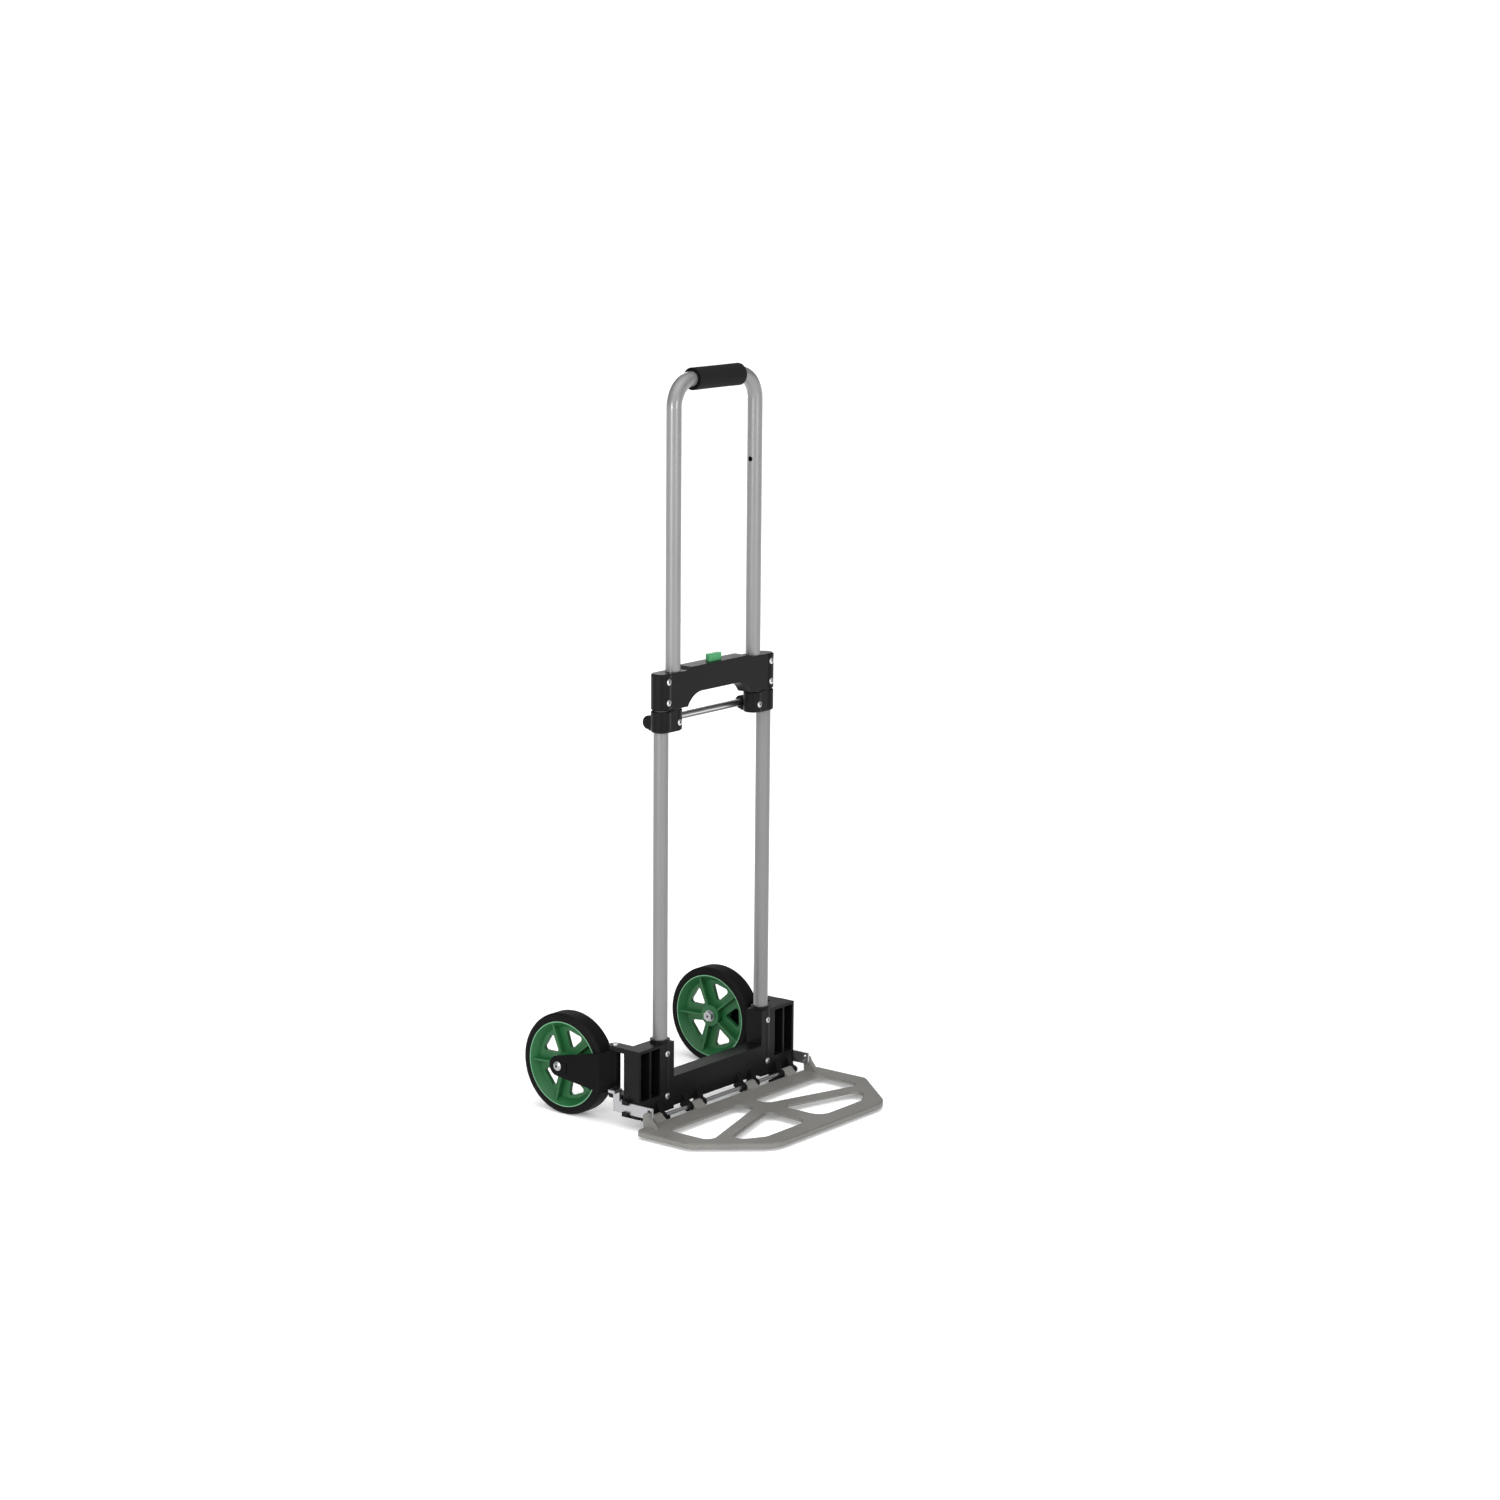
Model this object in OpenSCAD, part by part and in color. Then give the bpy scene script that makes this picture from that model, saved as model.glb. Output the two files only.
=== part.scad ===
// Folding luggage cart with a telescopic handle, a hinged toe plate and
// two wheels that swing in behind the frame as the toe plate folds up.
// X runs across the cart, -Y points over the toe plate, Z points up.
// The origin lies on the floor, midway between toe plate edge and wheels.

/* [Overall] */
// Height of the open cart, from the floor to the top of the grip
total_height = 1000; // [940:5:1100]

/* [Tubes] */
// Outside diameter of the handle tube and the lower tubes
tube_d = 20; // [18:0.5:21]
// Wall thickness of the tubes
tube_wall = 1.5; // [1:0.25:2]
// Distance between the two legs of the handle tube
handle_spacing = 170; // [165:1:180]
// Distance from each handle leg to the lower tube beside it
tube_pitch = 24; // [23.5:0.5:27]
// Bend radius of the handle tube at its centre line
bend_r = 35; // [30:1:45]
// Diameter of the lock holes in the handle legs
lock_hole_d = 7; // [6.2:0.2:8]
// Travel of the handle when the cart is folded
handle_travel = 280; // [240:5:300]

/* [Grip] */
// Outside diameter of the foam grip
grip_d = 30; // [26:1:34]
// Length of the foam grip
grip_len = 99; // [80:1:100]

/* [Lock housing] */
// Height of the underside of the lock housing above the floor
housing_z = 557.5; // [540:0.5:580]
// Height of the housing at its ends
housing_h = 48.5; // [46:0.5:56]
// Rise of the middle of the housing above its ends
hump_h = 3.5; // [2:0.5:6]
// Depth of the housing from front to back
housing_depth = 24; // [24:0.5:28]
// Radius of the round ends of the housing
end_r = 13.5; // [13.5:0.25:15]
// Height of the arch in the underside of the housing
arch_h = 17.5; // [12:0.5:18]
// Half of the flat length of the arch
arch_flat = 38; // [30:1:40]
// Radius of the arch's haunches
arch_r = 34.5; // [26:0.5:36]
// Width of the release button
button_w = 26; // [24:1:32]
// Depth of the release button from front to back
button_depth = 9; // [8:0.5:11]
// Height of the release button above the housing
button_h = 9.5; // [7:0.5:14]
// Travel of the release button and of the lock pins
button_travel = 5; // [3:0.5:5]
// Diameter of the lock pins
lock_pin_d = 6; // [5:0.25:6]

/* [Collars] */
// Height of the collars that tie the handle legs to the lower tubes
collar_h = 28.5; // [27:0.5:36]
// Radius of a collar round its handle leg
collar_r = 12.5; // [12.25:0.25:13]
// Diameter of the cross rod between the collars
rod_d = 10; // [8:0.5:12]
// Distance of the cross rod behind the tubes
rod_setback = 20; // [19.5:0.5:24]
// Diameter of the barrels that hold the cross rod
barrel_d = 18.5; // [16:0.5:18.5]

/* [Wheels] */
// Outside diameter of the tyres
wheel_d = 139; // [130:1:145]
// Width of the tyres
wheel_w = 30; // [28:1:31]
// Thickness of the tyres, from their seat to the tread
tyre_t = 11; // [9.5:0.5:16]
// Distance between the middle planes of the wheels
wheel_track = 314; // [310:1:316]
// Distance of the axles behind the tubes
axle_setback = 117; // [114:1:130]
// Diameter of the axle bolts
axle_d = 8; // [6:0.5:10]
// Diameter of the hubs
hub_d = 30; // [26:1:34]
// Number of ribs and windows in each rim
spokes = 5; // [4:1:5]

/* [Wheel arms] */
// Thickness of the wheel arms beside the wheels
arm_t = 5; // [4:0.5:7]
// Radius of the round end of the wheel arms at the axle
arm_end_r = 14; // [12:0.5:16]
// Reach of the arm above the axle at its hinge
arm_top = 32; // [28:1:36]
// Reach of the arm below the axle at its hinge
arm_bottom = 24; // [22:1:26]
// Distance of the arm hinges behind the tubes
hinge_setback = 36; // [35:0.5:37]
// Diameter of the hinge pins and of the toe hinge rod
pin_d = 6; // [5:0.5:6.5]

/* [Toe plate] */
// Width of the toe plate
toe_w = 390; // [384:1:400]
// Reach of the toe plate ahead of the tubes
toe_reach = 206; // [200:1:215]
// Length of the straight part of the toe plate's front edge
toe_front_w = 204; // [196:2:212]
// Distance ahead of the tubes at which the side edges begin
toe_shoulder = 113.5; // [108:0.5:120]
// Height of the toe plate's load face above the floor
toe_top = 12; // [10:0.5:13]
// Height of the toe plate's rim
toe_rim_h = 7.2; // [6:0.2:8]
// Thickness of the toe plate's sheet
toe_t = 2.5; // [2:0.25:3]
// Width of the toe plate's middle rib
toe_rib_w = 30; // [26:1:36]
// Height of the walls round the toe plate's openings
toe_flange_h = 4; // [3:0.25:5]
// Width of the toe plate's front bar
toe_bar_w = 29; // [26:1:34]
// Height of the toe hinge above the floor
toe_hinge_z = 14; // [13.5:0.5:15]

/* [Link] */
// Crank radius of the links that swing the wheels in
crank_r = 18; // [18:0.5:19]

/* [Hidden] */
$fn = 64;

// Colours
silver_paint = [0.66, 0.67, 0.66];
black_plastic = [0.16, 0.16, 0.16];
green_plastic = [0.16, 0.50, 0.30];
bright_steel = [0.80, 0.80, 0.82];
grey_paint = [0.55, 0.55, 0.53];
black_rubber = [0.08, 0.08, 0.08];

// Clearances
cut = 1;            // overrun of a cut past the face it opens
body_gap = 0.3;     // between curved faces of pieces that move apart
fit_gap = 0.05;     // between pieces that are fixed together
run_gap = 0.1;      // radial play of a shaft that turns or slides
end_play = 0.2;     // between flat faces that slide on each other
seam = 0.01;        // keeps a straight edge just inside the arcs that it meets

// Frame places
tube_r = tube_d / 2;
handle_x = handle_spacing / 2;
lower_x = handle_x + tube_pitch;
wheel_r = wheel_d / 2;
rim_d = wheel_d - 2 * tyre_t;
axle_z = wheel_r;
bar_z = total_height - grip_d / 2;
y_shift = (toe_reach - axle_setback - wheel_r) / 2;

// Lock housing
housing_end_z = housing_z + housing_h;
housing_top_z = housing_end_z + hump_h;
arch_z = housing_z + arch_h;
half_depth = housing_depth / 2;
housing_wall = 3.5;
socket_roof = 4;
hump_out = 70;
hump_in = 60;
edge_c = 1.5;           // chamfer of round ends
arch_roof = 4;
pocket_floor_z = arch_z + arch_roof;
top_wall = 5.5;
pocket_roof_z = housing_top_z - top_wall;
pocket_x = 50;
stall_x = 33;          // inner face of the spring walls
stall_t = 3;           // thickness of the spring walls
cover_x = 60;
cover_t = 3;
cover_lip = 2.5;       // wall left above and below the cover
cover_z0 = arch_z + cover_lip;
cover_z1 = housing_top_z - cover_lip - cut;
screw_x = 55.5;
screw_r = 1.5;
screw_head_r = 2.9;
screw_edge = 1.5;
screw_z = cover_z1 - screw_head_r - screw_edge;
screw_slot_r = 1.2;
screw_slot_h = 0.8;
lock_rise = 11.5;
lock_z = pocket_floor_z + lock_rise;
upper_lock_z = lock_z + handle_travel;

// Button and lock pins
pin_r = lock_pin_d / 2;
plate_x = 25;           // half width of the button's cam plate
plate_y = 2;            // half thickness of the cam plate
stop_gap = 1;
plate_z0 = pocket_floor_z + button_travel + stop_gap;
plate_z1 = pocket_roof_z - body_gap;
peg_r = 1.5;
peg_x = 20;
tongue_in = 3.5;        // reach of the tongue past its peg
tongue_y0 = -5.8;
tongue_y1 = -2.4;
tongue_half_h = 3.5;
disc_r = 5;
disc_t = 2;
disc_x = plate_x + button_travel + end_play;
ring_back = 4;
ring_x = pocket_x - ring_back;
ring_r = 5;
ring_t = 2.5;
pin_tip_x = handle_x - tube_r - body_gap;
spring_wire = 1;
spring_turns = 5;
spring_notch = 6;
spring_side_gap = 2;
spring_steps = 14;      // steps in one turn of a coil
lock_coil_gap = 1.2;
spring_len = 18;
spring_seat_z = pocket_floor_z + spring_len;
screw_tip_y = 0.5;
cap_corner_r = 3;
cap_edge_r = 1.5;
cap_root = 2;           // depth of the cap below the plate's top edge

// Joined shapes of one solid
overlap = 1;            // depth to which they reach into each other
pin_root = 0.5;         // the same, for pins and rods
bite = 0.1;             // the same, for thin pieces
grip_edge_r = 1.8;

// Collars
collar_drop = 1;
collar_top_z = housing_z - collar_drop;
collar_z = collar_top_z - collar_h;
collar_depth = 24;
collar_floor = 3;
rod_rise = 10.5;
rod_z = collar_z + rod_rise;
barrel_in = 1;
barrel_in_x = handle_x - barrel_in;
barrel_out = 4.5;
barrel_out_x = lower_x + barrel_out;
barrel_edge_r = 3;
saddle_t = 3;
saddle_h = 4;
rod_end_wall = 4;
collar_rivet_rise = 11;
collar_rivet_z = collar_z + collar_rivet_rise;

// Rivets
rivet_r = 2.4;
rivet_head_r = 4.25;
rivet_head_h = 1.7;
rivet_edge_h = 0.5;
rivet_tail_r = 3.2;
rivet_tail_h = 2.5;
rivet_tail_c = 0.8;
rivet_dimple_r = 1.5;
rivet_flat = 0.4;       // depth of the flat that a rivet head seats on
rivet_seat = sqrt(pow(tube_r - tube_wall, 2) - pow(rivet_tail_r, 2));
housing_rivet_low = 10.5;
housing_rivet_high = 38;
housing_rivet_z = [housing_z + housing_rivet_low, housing_z + housing_rivet_high];

// Wheel arms and their hinges
wheel_x = wheel_track / 2;
wheel_face_x = wheel_x + wheel_w / 2;
arm_gap = 5;
arm_in_x = wheel_face_x + arm_gap;
arm_out_x = arm_in_x + arm_t;
hinge_out = 1;
hinge_x = wheel_x + hinge_out;
hinge_pin_r = pin_d / 2;
knuckle_r = 7;
arm_z0 = axle_z - arm_bottom;
arm_z1 = axle_z + arm_top;
ear_gap = 0.5;
ear_t = 7;
ear_r = 9;
arm_bend_in = 12;       // places of the arm's bends behind its hinge
arm_bend_out = 8;
arm_web_back = 7;
arm_web_in = 6;
arm_nose = 4;
arm_fair = 0.5;
arm_mark_gap = 1;       // shallow slot ahead of the axle
arm_mark_w = 2;
arm_mark_half_h = 7;
arm_mark_depth = 1;
pin_head_out = 2;
pin_head_h = 2;
pin_tail_out = 1.5;
pin_tail_h = 1.5;
pin_end_c = 1;

// Base bracket
bracket_depth = 26;
bracket_y = bracket_depth / 2;
bracket_out = 10;
bracket_x = hinge_x + bracket_out;
bracket_z0 = 16;
bracket_z1 = arm_z1 + ear_gap + ear_t;
block_wall = 4;
block_x = lower_x - tube_r - block_wall;
beam_rise = 4;
beam_h = 40;
beam_z0 = bracket_z0 + beam_rise;
beam_z1 = beam_z0 + beam_h;
beam_wall = 4;
beam_ribs = 7;
socket_floor = 4;
socket_lip = 4;
recess_in_wall = 2;     // walls round the recesses of the side blocks
recess_out_wall = 4;
recess_web = 3;
recess_floor = 24;
recess_back = 8;
recess_roof = 4;
socket_z = bracket_z0 + socket_floor;
bracket_rivet_low = 20;
bracket_rivet_high = 15;
bracket_rivet_z = [bracket_z0 + bracket_rivet_low, bracket_z1 - bracket_rivet_high];

// Toe hinge
toe_hinge_y = -20;
toe_knuckle_r = 6;
toe_knuckle_w = 20;
toe_knuckle_x = [58, 142];
toe_ear_w = 7.7;
toe_ear_rise = 20;
toe_ear_root = 5;
toe_ear_drop = 2;
toe_knuckle_root = 3;
toe_rear_gap = 9;
toe_rear_y = toe_hinge_y - toe_rear_gap;
toe_rod_x = 163;
rod_cap_r = 4.5;
rod_cap_h = 2.5;
foot_w = 13.7;
foot_front_y = toe_hinge_y - toe_knuckle_r;
foot_rear_y = -8;
foot_chamfer = 2;
foot_chamfer_h = 4;

// Toe plate
toe_z0 = toe_top - toe_rim_h;
toe_corner_r = 40;
toe_side_r = 15;
toe_rear_r = 10;
toe_chamfer = 1;
toe_side_bar = 30;
toe_rear_bar = 31;
toe_hole_r = 12;        // corners of the openings
toe_root_r = 10;        // front opening, at the brace and the middle rib
toe_front_r = 18;       // front opening, at the front bar and the middle rib
toe_bend_r = 14;        // front opening, where its front edge bends
toe_tip_r = 12;         // front opening, outer tip
toe_bend_in = 1;
toe_tip_out = 20;
toe_tip_at = 0.21;      // places between front bar and rear bar, 0 to 1
toe_root_at = 0.46;
toe_brace_out_at = 0.517;
toe_brace_in_at = 0.853;
toe_foot_r = 6;
toe_foot_c = 1;
toe_foot_x = 90;

// Links: each slides along Y beside the bracket. A peg on the toe plate's
// heel drives its front slot, and its rear slot drives the arm's crank.
link_t = 3;
link_in_x = bracket_x + body_gap;
link_out_x = link_in_x + link_t;
crank_angle = 45;
crank_half_w = 4;
crank_c = crank_r * cos(crank_angle);
link_throw = 2 * crank_c;
peg_y = toe_hinge_y - crank_c;
peg_z = toe_hinge_z + crank_c;
link_peg_r = 2;
link_play = 0.85;
slot_r = link_peg_r + link_play;
slot_wall = 2.6;
slot_floor = 2;
link_z0 = peg_z - slot_r - slot_floor;
link_z1 = toe_hinge_z + crank_r + slot_r + slot_wall;
heel_in_x = link_out_x + body_gap;
heel_t = 6;
heel_root = 22;
peg_tip_gap = 0.1;
heel_r = 5;
crank_x = hinge_x + crank_c;
crank_y = hinge_setback - crank_c;
tab_in_x = hinge_x + knuckle_r + ear_gap;
tab_out_x = hinge_x + crank_r + slot_r + slot_wall;
tab_rise = 4;
tab_z0 = arm_z0 + tab_rise;
tab_t = 4;
crank_z0 = tab_z0 + tab_t + ear_gap;
crank_t = 4;
keeper_y0 = 1;
keeper_w = 10;
keeper_lip = 3;
keeper_t = 3;

// Wheels
rim_inset = 0.5;        // from the tyre's face back to the rim's face
web_half = 3;           // half thickness of the web
felloe_lip = 1.5;
felloe_foot = 9.5;      // from the rim's edge in to the foot of its sloping wall
rib_t = 2.6;
rib_inset = 3;
rib_angle = 69;
hub_out = 2;            // hub face ahead of the tyre's face
hub_in_x = wheel_x - wheel_w / 2 + hub_out;
hub_out_x = wheel_x + wheel_w / 2 + hub_out;
washer_t = 1;
nut_h = 4.5;
nut_r = 7.2;
bolt_tail = 4;
window_r = 4;
window_lip = 4;         // web left between a window and the felloe
window_root = 7;        // web left between a window and the hub
window_spread = 65;     // share of the turn that the windows take, in degrees
tyre_round = 0.45;      // share of the tyre's thickness that its edges round off
bolt_head_r = 6.5;
bolt_head_h = 3;
bolt_edge_h = 0.8;
bolt_socket_r = 1.6;
bolt_socket_h = 1;

// ---------- shared shapes ----------

// Moves the cart so that the origin lies in the middle of its footprint.
module placed() {
    translate([0, y_shift, 0]) children();
}

// Draws a right-hand piece at the right, or mirrored at the left.
module on_side(side) {
    mirror([side < 0 ? 1 : 0, 0, 0]) children();
}

// Rectangle from corner a to corner b.
module rect(a, b) {
    translate(a) square(b - a);
}

// Rectangle from a to b with its four corners rounded by circles.
module round_rect(a, b, r) {
    rect([a.x + r, a.y], [b.x - r, b.y]);
    rect([a.x, a.y + r], [b.x, b.y - r]);
    for (x = [a.x + r, b.x - r], y = [a.y + r, b.y - r]) {
        translate([x, y]) circle(r);
    }
}

// Outline round the circles c = [[x, y, r], ...], given anticlockwise,
// moved outwards by g.
module round_outline(c, g = 0) {
    n = len(c);
    polygon([for (i = [0 : n - 1])
        let (p = c[i], q = c[(i + 1) % n], dx = q.x - p.x, dy = q.y - p.y,
            a = atan2(dy, dx) - acos((p.z - q.z) / norm([dx, dy])), u = [cos(a), sin(a)])
        each [[p.x, p.y] + (p.z + g - seam) * u, [q.x, q.y] + (q.z + g - seam) * u]]);
    for (p = c) translate([p.x, p.y]) circle(p.z + g);
}

// Half section of a domed head with an upright edge.
module dome(r, edge_h, h) {
    rise = h - edge_h;
    sphere_r = (r * r + rise * rise) / (2 * rise);
    intersection() {
        rect([0, 0], [r, h]);
        translate([0, h - sphere_r]) circle(sphere_r);
    }
}

// Upright cylinder with chamfered rims.
module drum(r, h) {
    rotate_extrude() polygon([
        [0, 0], [r - edge_c, 0], [r, edge_c], [r, h - edge_c], [r - edge_c, h], [0, h]]);
}

// Block from corner a to corner b.
module block(a, b) {
    translate(a) cube(b - a);
}

// Cylinder along X from x0 to x1.
module x_rod(r, x0, x1) {
    translate([x0, 0, 0]) rotate([0, 90, 0]) cylinder(r = r, h = x1 - x0);
}

// Cylinder along Y from y0 to y1.
module y_rod(r, y0, y1) {
    translate([0, y1, 0]) rotate([90, 0, 0]) cylinder(r = r, h = y1 - y0);
}

// Outline drawn in (Y, Z), extruded along X from x0 to x1.
module side_plate(x0, x1) {
    translate([x0, 0, 0]) rotate([90, 0, 90]) linear_extrude(x1 - x0) children();
}

// Ring section of the tubes.
module tube_ring() {
    difference() {
        circle(tube_r);
        circle(tube_r - tube_wall);
    }
}

// Blind rivet along Y: its head seats at y = -face, its tail spreads
// inside the tube.
module rivet(face) {
    seat = rivet_seat - fit_gap;
    rotate([90, 0, 0]) rotate_extrude() difference() {
        union() {
            polygon([
                [0, seat - rivet_tail_h], [rivet_tail_r - rivet_tail_c, seat - rivet_tail_h],
                [rivet_tail_r, seat - rivet_tail_h + rivet_tail_c], [rivet_tail_r, seat],
                [rivet_r, seat], [rivet_r, face + rivet_edge_h], [0, face + rivet_edge_h]]);
            translate([0, face]) dome(rivet_head_r, rivet_edge_h, rivet_head_h);
        }
        rect([0, face + rivet_edge_h], [rivet_dimple_r, face + rivet_head_h + cut]);
    }
}

// Hole for a rivet through everything from y = -face back to y = 0.
module rivet_hole(face) {
    y_rod(rivet_r + fit_gap, -face - cut, 0);
    y_rod(rivet_head_r + fit_gap, -face - cut - rivet_head_h, -face);
}

// ---------- handle ----------

module handle_tube() color(silver_paint) placed() {
    leg_z0 = collar_z + collar_floor + fit_gap;
    leg_z1 = bar_z - bend_r;
    difference() {
        union() {
            for (side = [-1, 1]) on_side(side) {
                translate([handle_x, 0, leg_z0]) linear_extrude(leg_z1 - leg_z0) tube_ring();
                translate([handle_x - bend_r, 0, leg_z1]) rotate([90, 0, 0])
                    rotate_extrude(angle = 90) translate([bend_r, 0]) tube_ring();
            }
            translate([bend_r - handle_x, 0, bar_z]) rotate([90, 0, 90])
                linear_extrude(2 * (handle_x - bend_r)) tube_ring();
        }
        for (side = [-1, 1], z = [lock_z, upper_lock_z]) on_side(side)
            translate([0, 0, z]) x_rod(lock_hole_d / 2, handle_x - tube_r - cut, handle_x);
        for (side = [-1, 1]) translate([side * handle_x, 0, collar_rivet_z])
            y_rod(rivet_r + fit_gap, -tube_r - cut, 0);
    }
}

module foam_grip() color(black_rubber) placed() {
    half_len = min(grip_len / 2, handle_x - bend_r);
    translate([0, 0, bar_z]) rotate([0, 90, 0]) rotate_extrude()
        round_rect([tube_r + fit_gap, -half_len], [grip_d / 2, half_len], grip_edge_r);
}

// ---------- collars and cross rod ----------

module collar_body() {
    translate([lower_x, 0, collar_z]) drum(end_r, collar_h);
    translate([handle_x, 0, collar_z]) drum(collar_r, collar_h);
    block([handle_x, -collar_depth / 2, collar_z], [lower_x, collar_depth / 2, collar_top_z]);
    translate([barrel_in_x, rod_setback, rod_z]) rotate([0, 90, 0]) rotate_extrude() {
        barrel_r = barrel_d / 2;
        len = barrel_out_x - barrel_in_x;
        rect([0, 0], [barrel_r, len - barrel_edge_r]);
        rect([0, 0], [barrel_r - barrel_edge_r, len]);
        translate([barrel_r - barrel_edge_r, len - barrel_edge_r]) circle(barrel_edge_r);
    }
    block([barrel_in_x, collar_depth / 2 - saddle_t, collar_z],
        [barrel_out_x - barrel_edge_r, rod_setback, rod_z + saddle_h]);
}

module collar(side) color(black_plastic) placed() on_side(side) difference() {
    collar_body();
    translate([lower_x, 0, collar_z - cut])
        cylinder(r = tube_r + body_gap, h = collar_h + 2 * cut);
    translate([handle_x, 0, collar_z + collar_floor])
        cylinder(r = tube_r + fit_gap, h = collar_h);
    translate([0, rod_setback, rod_z])
        x_rod(rod_d / 2 + fit_gap, barrel_in_x - cut, barrel_out_x - rod_end_wall);
    translate([handle_x, 0, collar_rivet_z]) rivet_hole(collar_r - rivet_flat);
}

module collar_rivets() color(bright_steel) placed() {
    for (side = [-1, 1]) translate([side * handle_x, 0, collar_rivet_z])
        rivet(collar_r - rivet_flat);
}

module cross_rod() color(bright_steel) placed() {
    half_len = barrel_out_x - rod_end_wall - fit_gap;
    translate([0, rod_setback, rod_z]) x_rod(rod_d / 2, -half_len, half_len);
}

// ---------- lock housing ----------

module housing_outline() {
    polygon([
        [-lower_x, housing_z], [lower_x, housing_z],
        [lower_x, housing_end_z], [hump_out, housing_end_z],
        [hump_in, housing_top_z], [-hump_in, housing_top_z],
        [-hump_out, housing_end_z], [-lower_x, housing_end_z]]);
}

module arch_outline() {
    rect([-arch_flat, housing_z - cut], [arch_flat, arch_z]);
    for (side = [-1, 1]) translate([side * arch_flat, arch_z - arch_r]) circle(arch_r);
}

// Room behind the front wall for the button, the pins and their springs.
module housing_pocket() {
    y0 = housing_wall - half_depth;
    y1 = half_depth + cut;
    block([-stall_x, y0, pocket_floor_z], [stall_x, y1, pocket_roof_z]);
    for (side = [-1, 1]) on_side(side)
        block([stall_x + stall_t, y0, pocket_floor_z], [pocket_x, y1, pocket_roof_z]);
    block([-cover_x - fit_gap, half_depth - cover_t, cover_z0 - fit_gap],
        [cover_x + fit_gap, y1, cover_z1 + fit_gap]);
}

module lock_housing() color(black_plastic) placed() difference() {
    union() {
        rotate([90, 0, 0]) linear_extrude(housing_depth, center = true) difference() {
            housing_outline();
            arch_outline();
        }
        for (side = [-1, 1]) translate([side * lower_x, 0, housing_z]) drum(end_r, housing_h);
    }
    housing_pocket();
    translate([0, 0, pocket_roof_z - cut]) linear_extrude(top_wall + 2 * cut) cap_plan(body_gap);
    for (side = [-1, 1]) on_side(side) {
        translate([handle_x, 0, housing_z - cut])
            cylinder(r = tube_r + body_gap, h = housing_h + 2 * cut);
        translate([lower_x, 0, housing_z - cut])
            cylinder(r = tube_r + fit_gap, h = housing_h + cut - socket_roof);
        translate([0, 0, lock_z]) x_rod(pin_r + run_gap, stall_x - cut, handle_x);
        translate([screw_x, 0, screw_z]) y_rod(screw_r + fit_gap, 0, half_depth);
        for (z = housing_rivet_z) translate([lower_x, 0, z]) rivet_hole(end_r - rivet_flat);
    }
}

module housing_cover() color(black_plastic) placed() difference() {
    rotate([90, 0, 0]) translate([0, 0, -half_depth]) linear_extrude(cover_t)
        rect([-cover_x, cover_z0], [cover_x, cover_z1]);
    for (side = [-1, 1]) translate([side * screw_x, 0, screw_z]) {
        y_rod(screw_r + fit_gap, 0, half_depth + cut);
        y_rod(screw_head_r + fit_gap, half_depth - cover_t / 2, half_depth + cut);
    }
}

module cover_screws() color(bright_steel) placed() {
    for (side = [-1, 1]) translate([side * screw_x, 0, screw_z]) {
        y_rod(screw_r, screw_tip_y, half_depth - cover_t / 2 + bite);
        difference() {
            y_rod(screw_head_r, half_depth - cover_t / 2, half_depth);
            y_rod(screw_slot_r, half_depth - screw_slot_h, half_depth + cut);
        }
    }
}

module housing_rivets() color(bright_steel) placed() {
    for (side = [-1, 1], z = housing_rivet_z) translate([side * lower_x, 0, z])
        rivet(end_r - rivet_flat);
}

// ---------- release button, lock pins and springs ----------

// Slanted slot that draws a lock pin inwards as the button goes down.
module cam_slot() {
    for (t = [0, button_travel]) translate([peg_x - t, lock_z + t]) circle(peg_r + body_gap);
    translate([peg_x, lock_z]) rotate(135)
        rect([0, -peg_r - body_gap], [button_travel * sqrt(2), peg_r + body_gap]);
}

// Plan of the button's cap, grown by g.
module cap_plan(g = 0) {
    corner = [button_w / 2 + g, button_depth / 2 + g];
    round_rect(-corner, corner, cap_corner_r + g);
}

module release_button() color(green_plastic) placed() {
    cap_z0 = plate_z1 - cap_root;
    cap_z1 = housing_top_z + button_h;
    intersection() {
        translate([0, 0, cap_z0]) linear_extrude(cap_z1 - cap_z0) cap_plan();
        rotate([90, 0, 0]) linear_extrude(button_depth, center = true)
            cap_side(button_w / 2, cap_z0, cap_z1);
        side_plate(-button_w / 2, button_w / 2) cap_side(button_depth / 2, cap_z0, cap_z1);
    }
    rotate([90, 0, 0]) linear_extrude(2 * plate_y, center = true) difference() {
        rect([-plate_x, plate_z0], [plate_x, plate_z1]);
        rect([-spring_notch, plate_z0 - cut], [spring_notch, spring_seat_z]);
        for (side = [-1, 1]) mirror([side < 0 ? 1 : 0, 0]) cam_slot();
    }
}

// Upright outline of the cap with its upper corners rounded.
module cap_side(half, z0, z1) {
    rect([-half, z0], [half, z1 - cap_edge_r]);
    round_rect([-half, z0], [half, z1], cap_edge_r);
}

module lock_pin(side) color(bright_steel) placed() on_side(side) translate([0, 0, lock_z]) {
    x_rod(pin_r, disc_x, pin_tip_x);
    x_rod(disc_r, disc_x, disc_x + disc_t);
    x_rod(ring_r, ring_x, ring_x + ring_t);
    block([peg_x - tongue_in, tongue_y0, -tongue_half_h],
        [disc_x + disc_t, tongue_y1, tongue_half_h]);
    translate([peg_x, 0, 0]) y_rod(peg_r, tongue_y1 - pin_root, plate_y);
}

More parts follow.
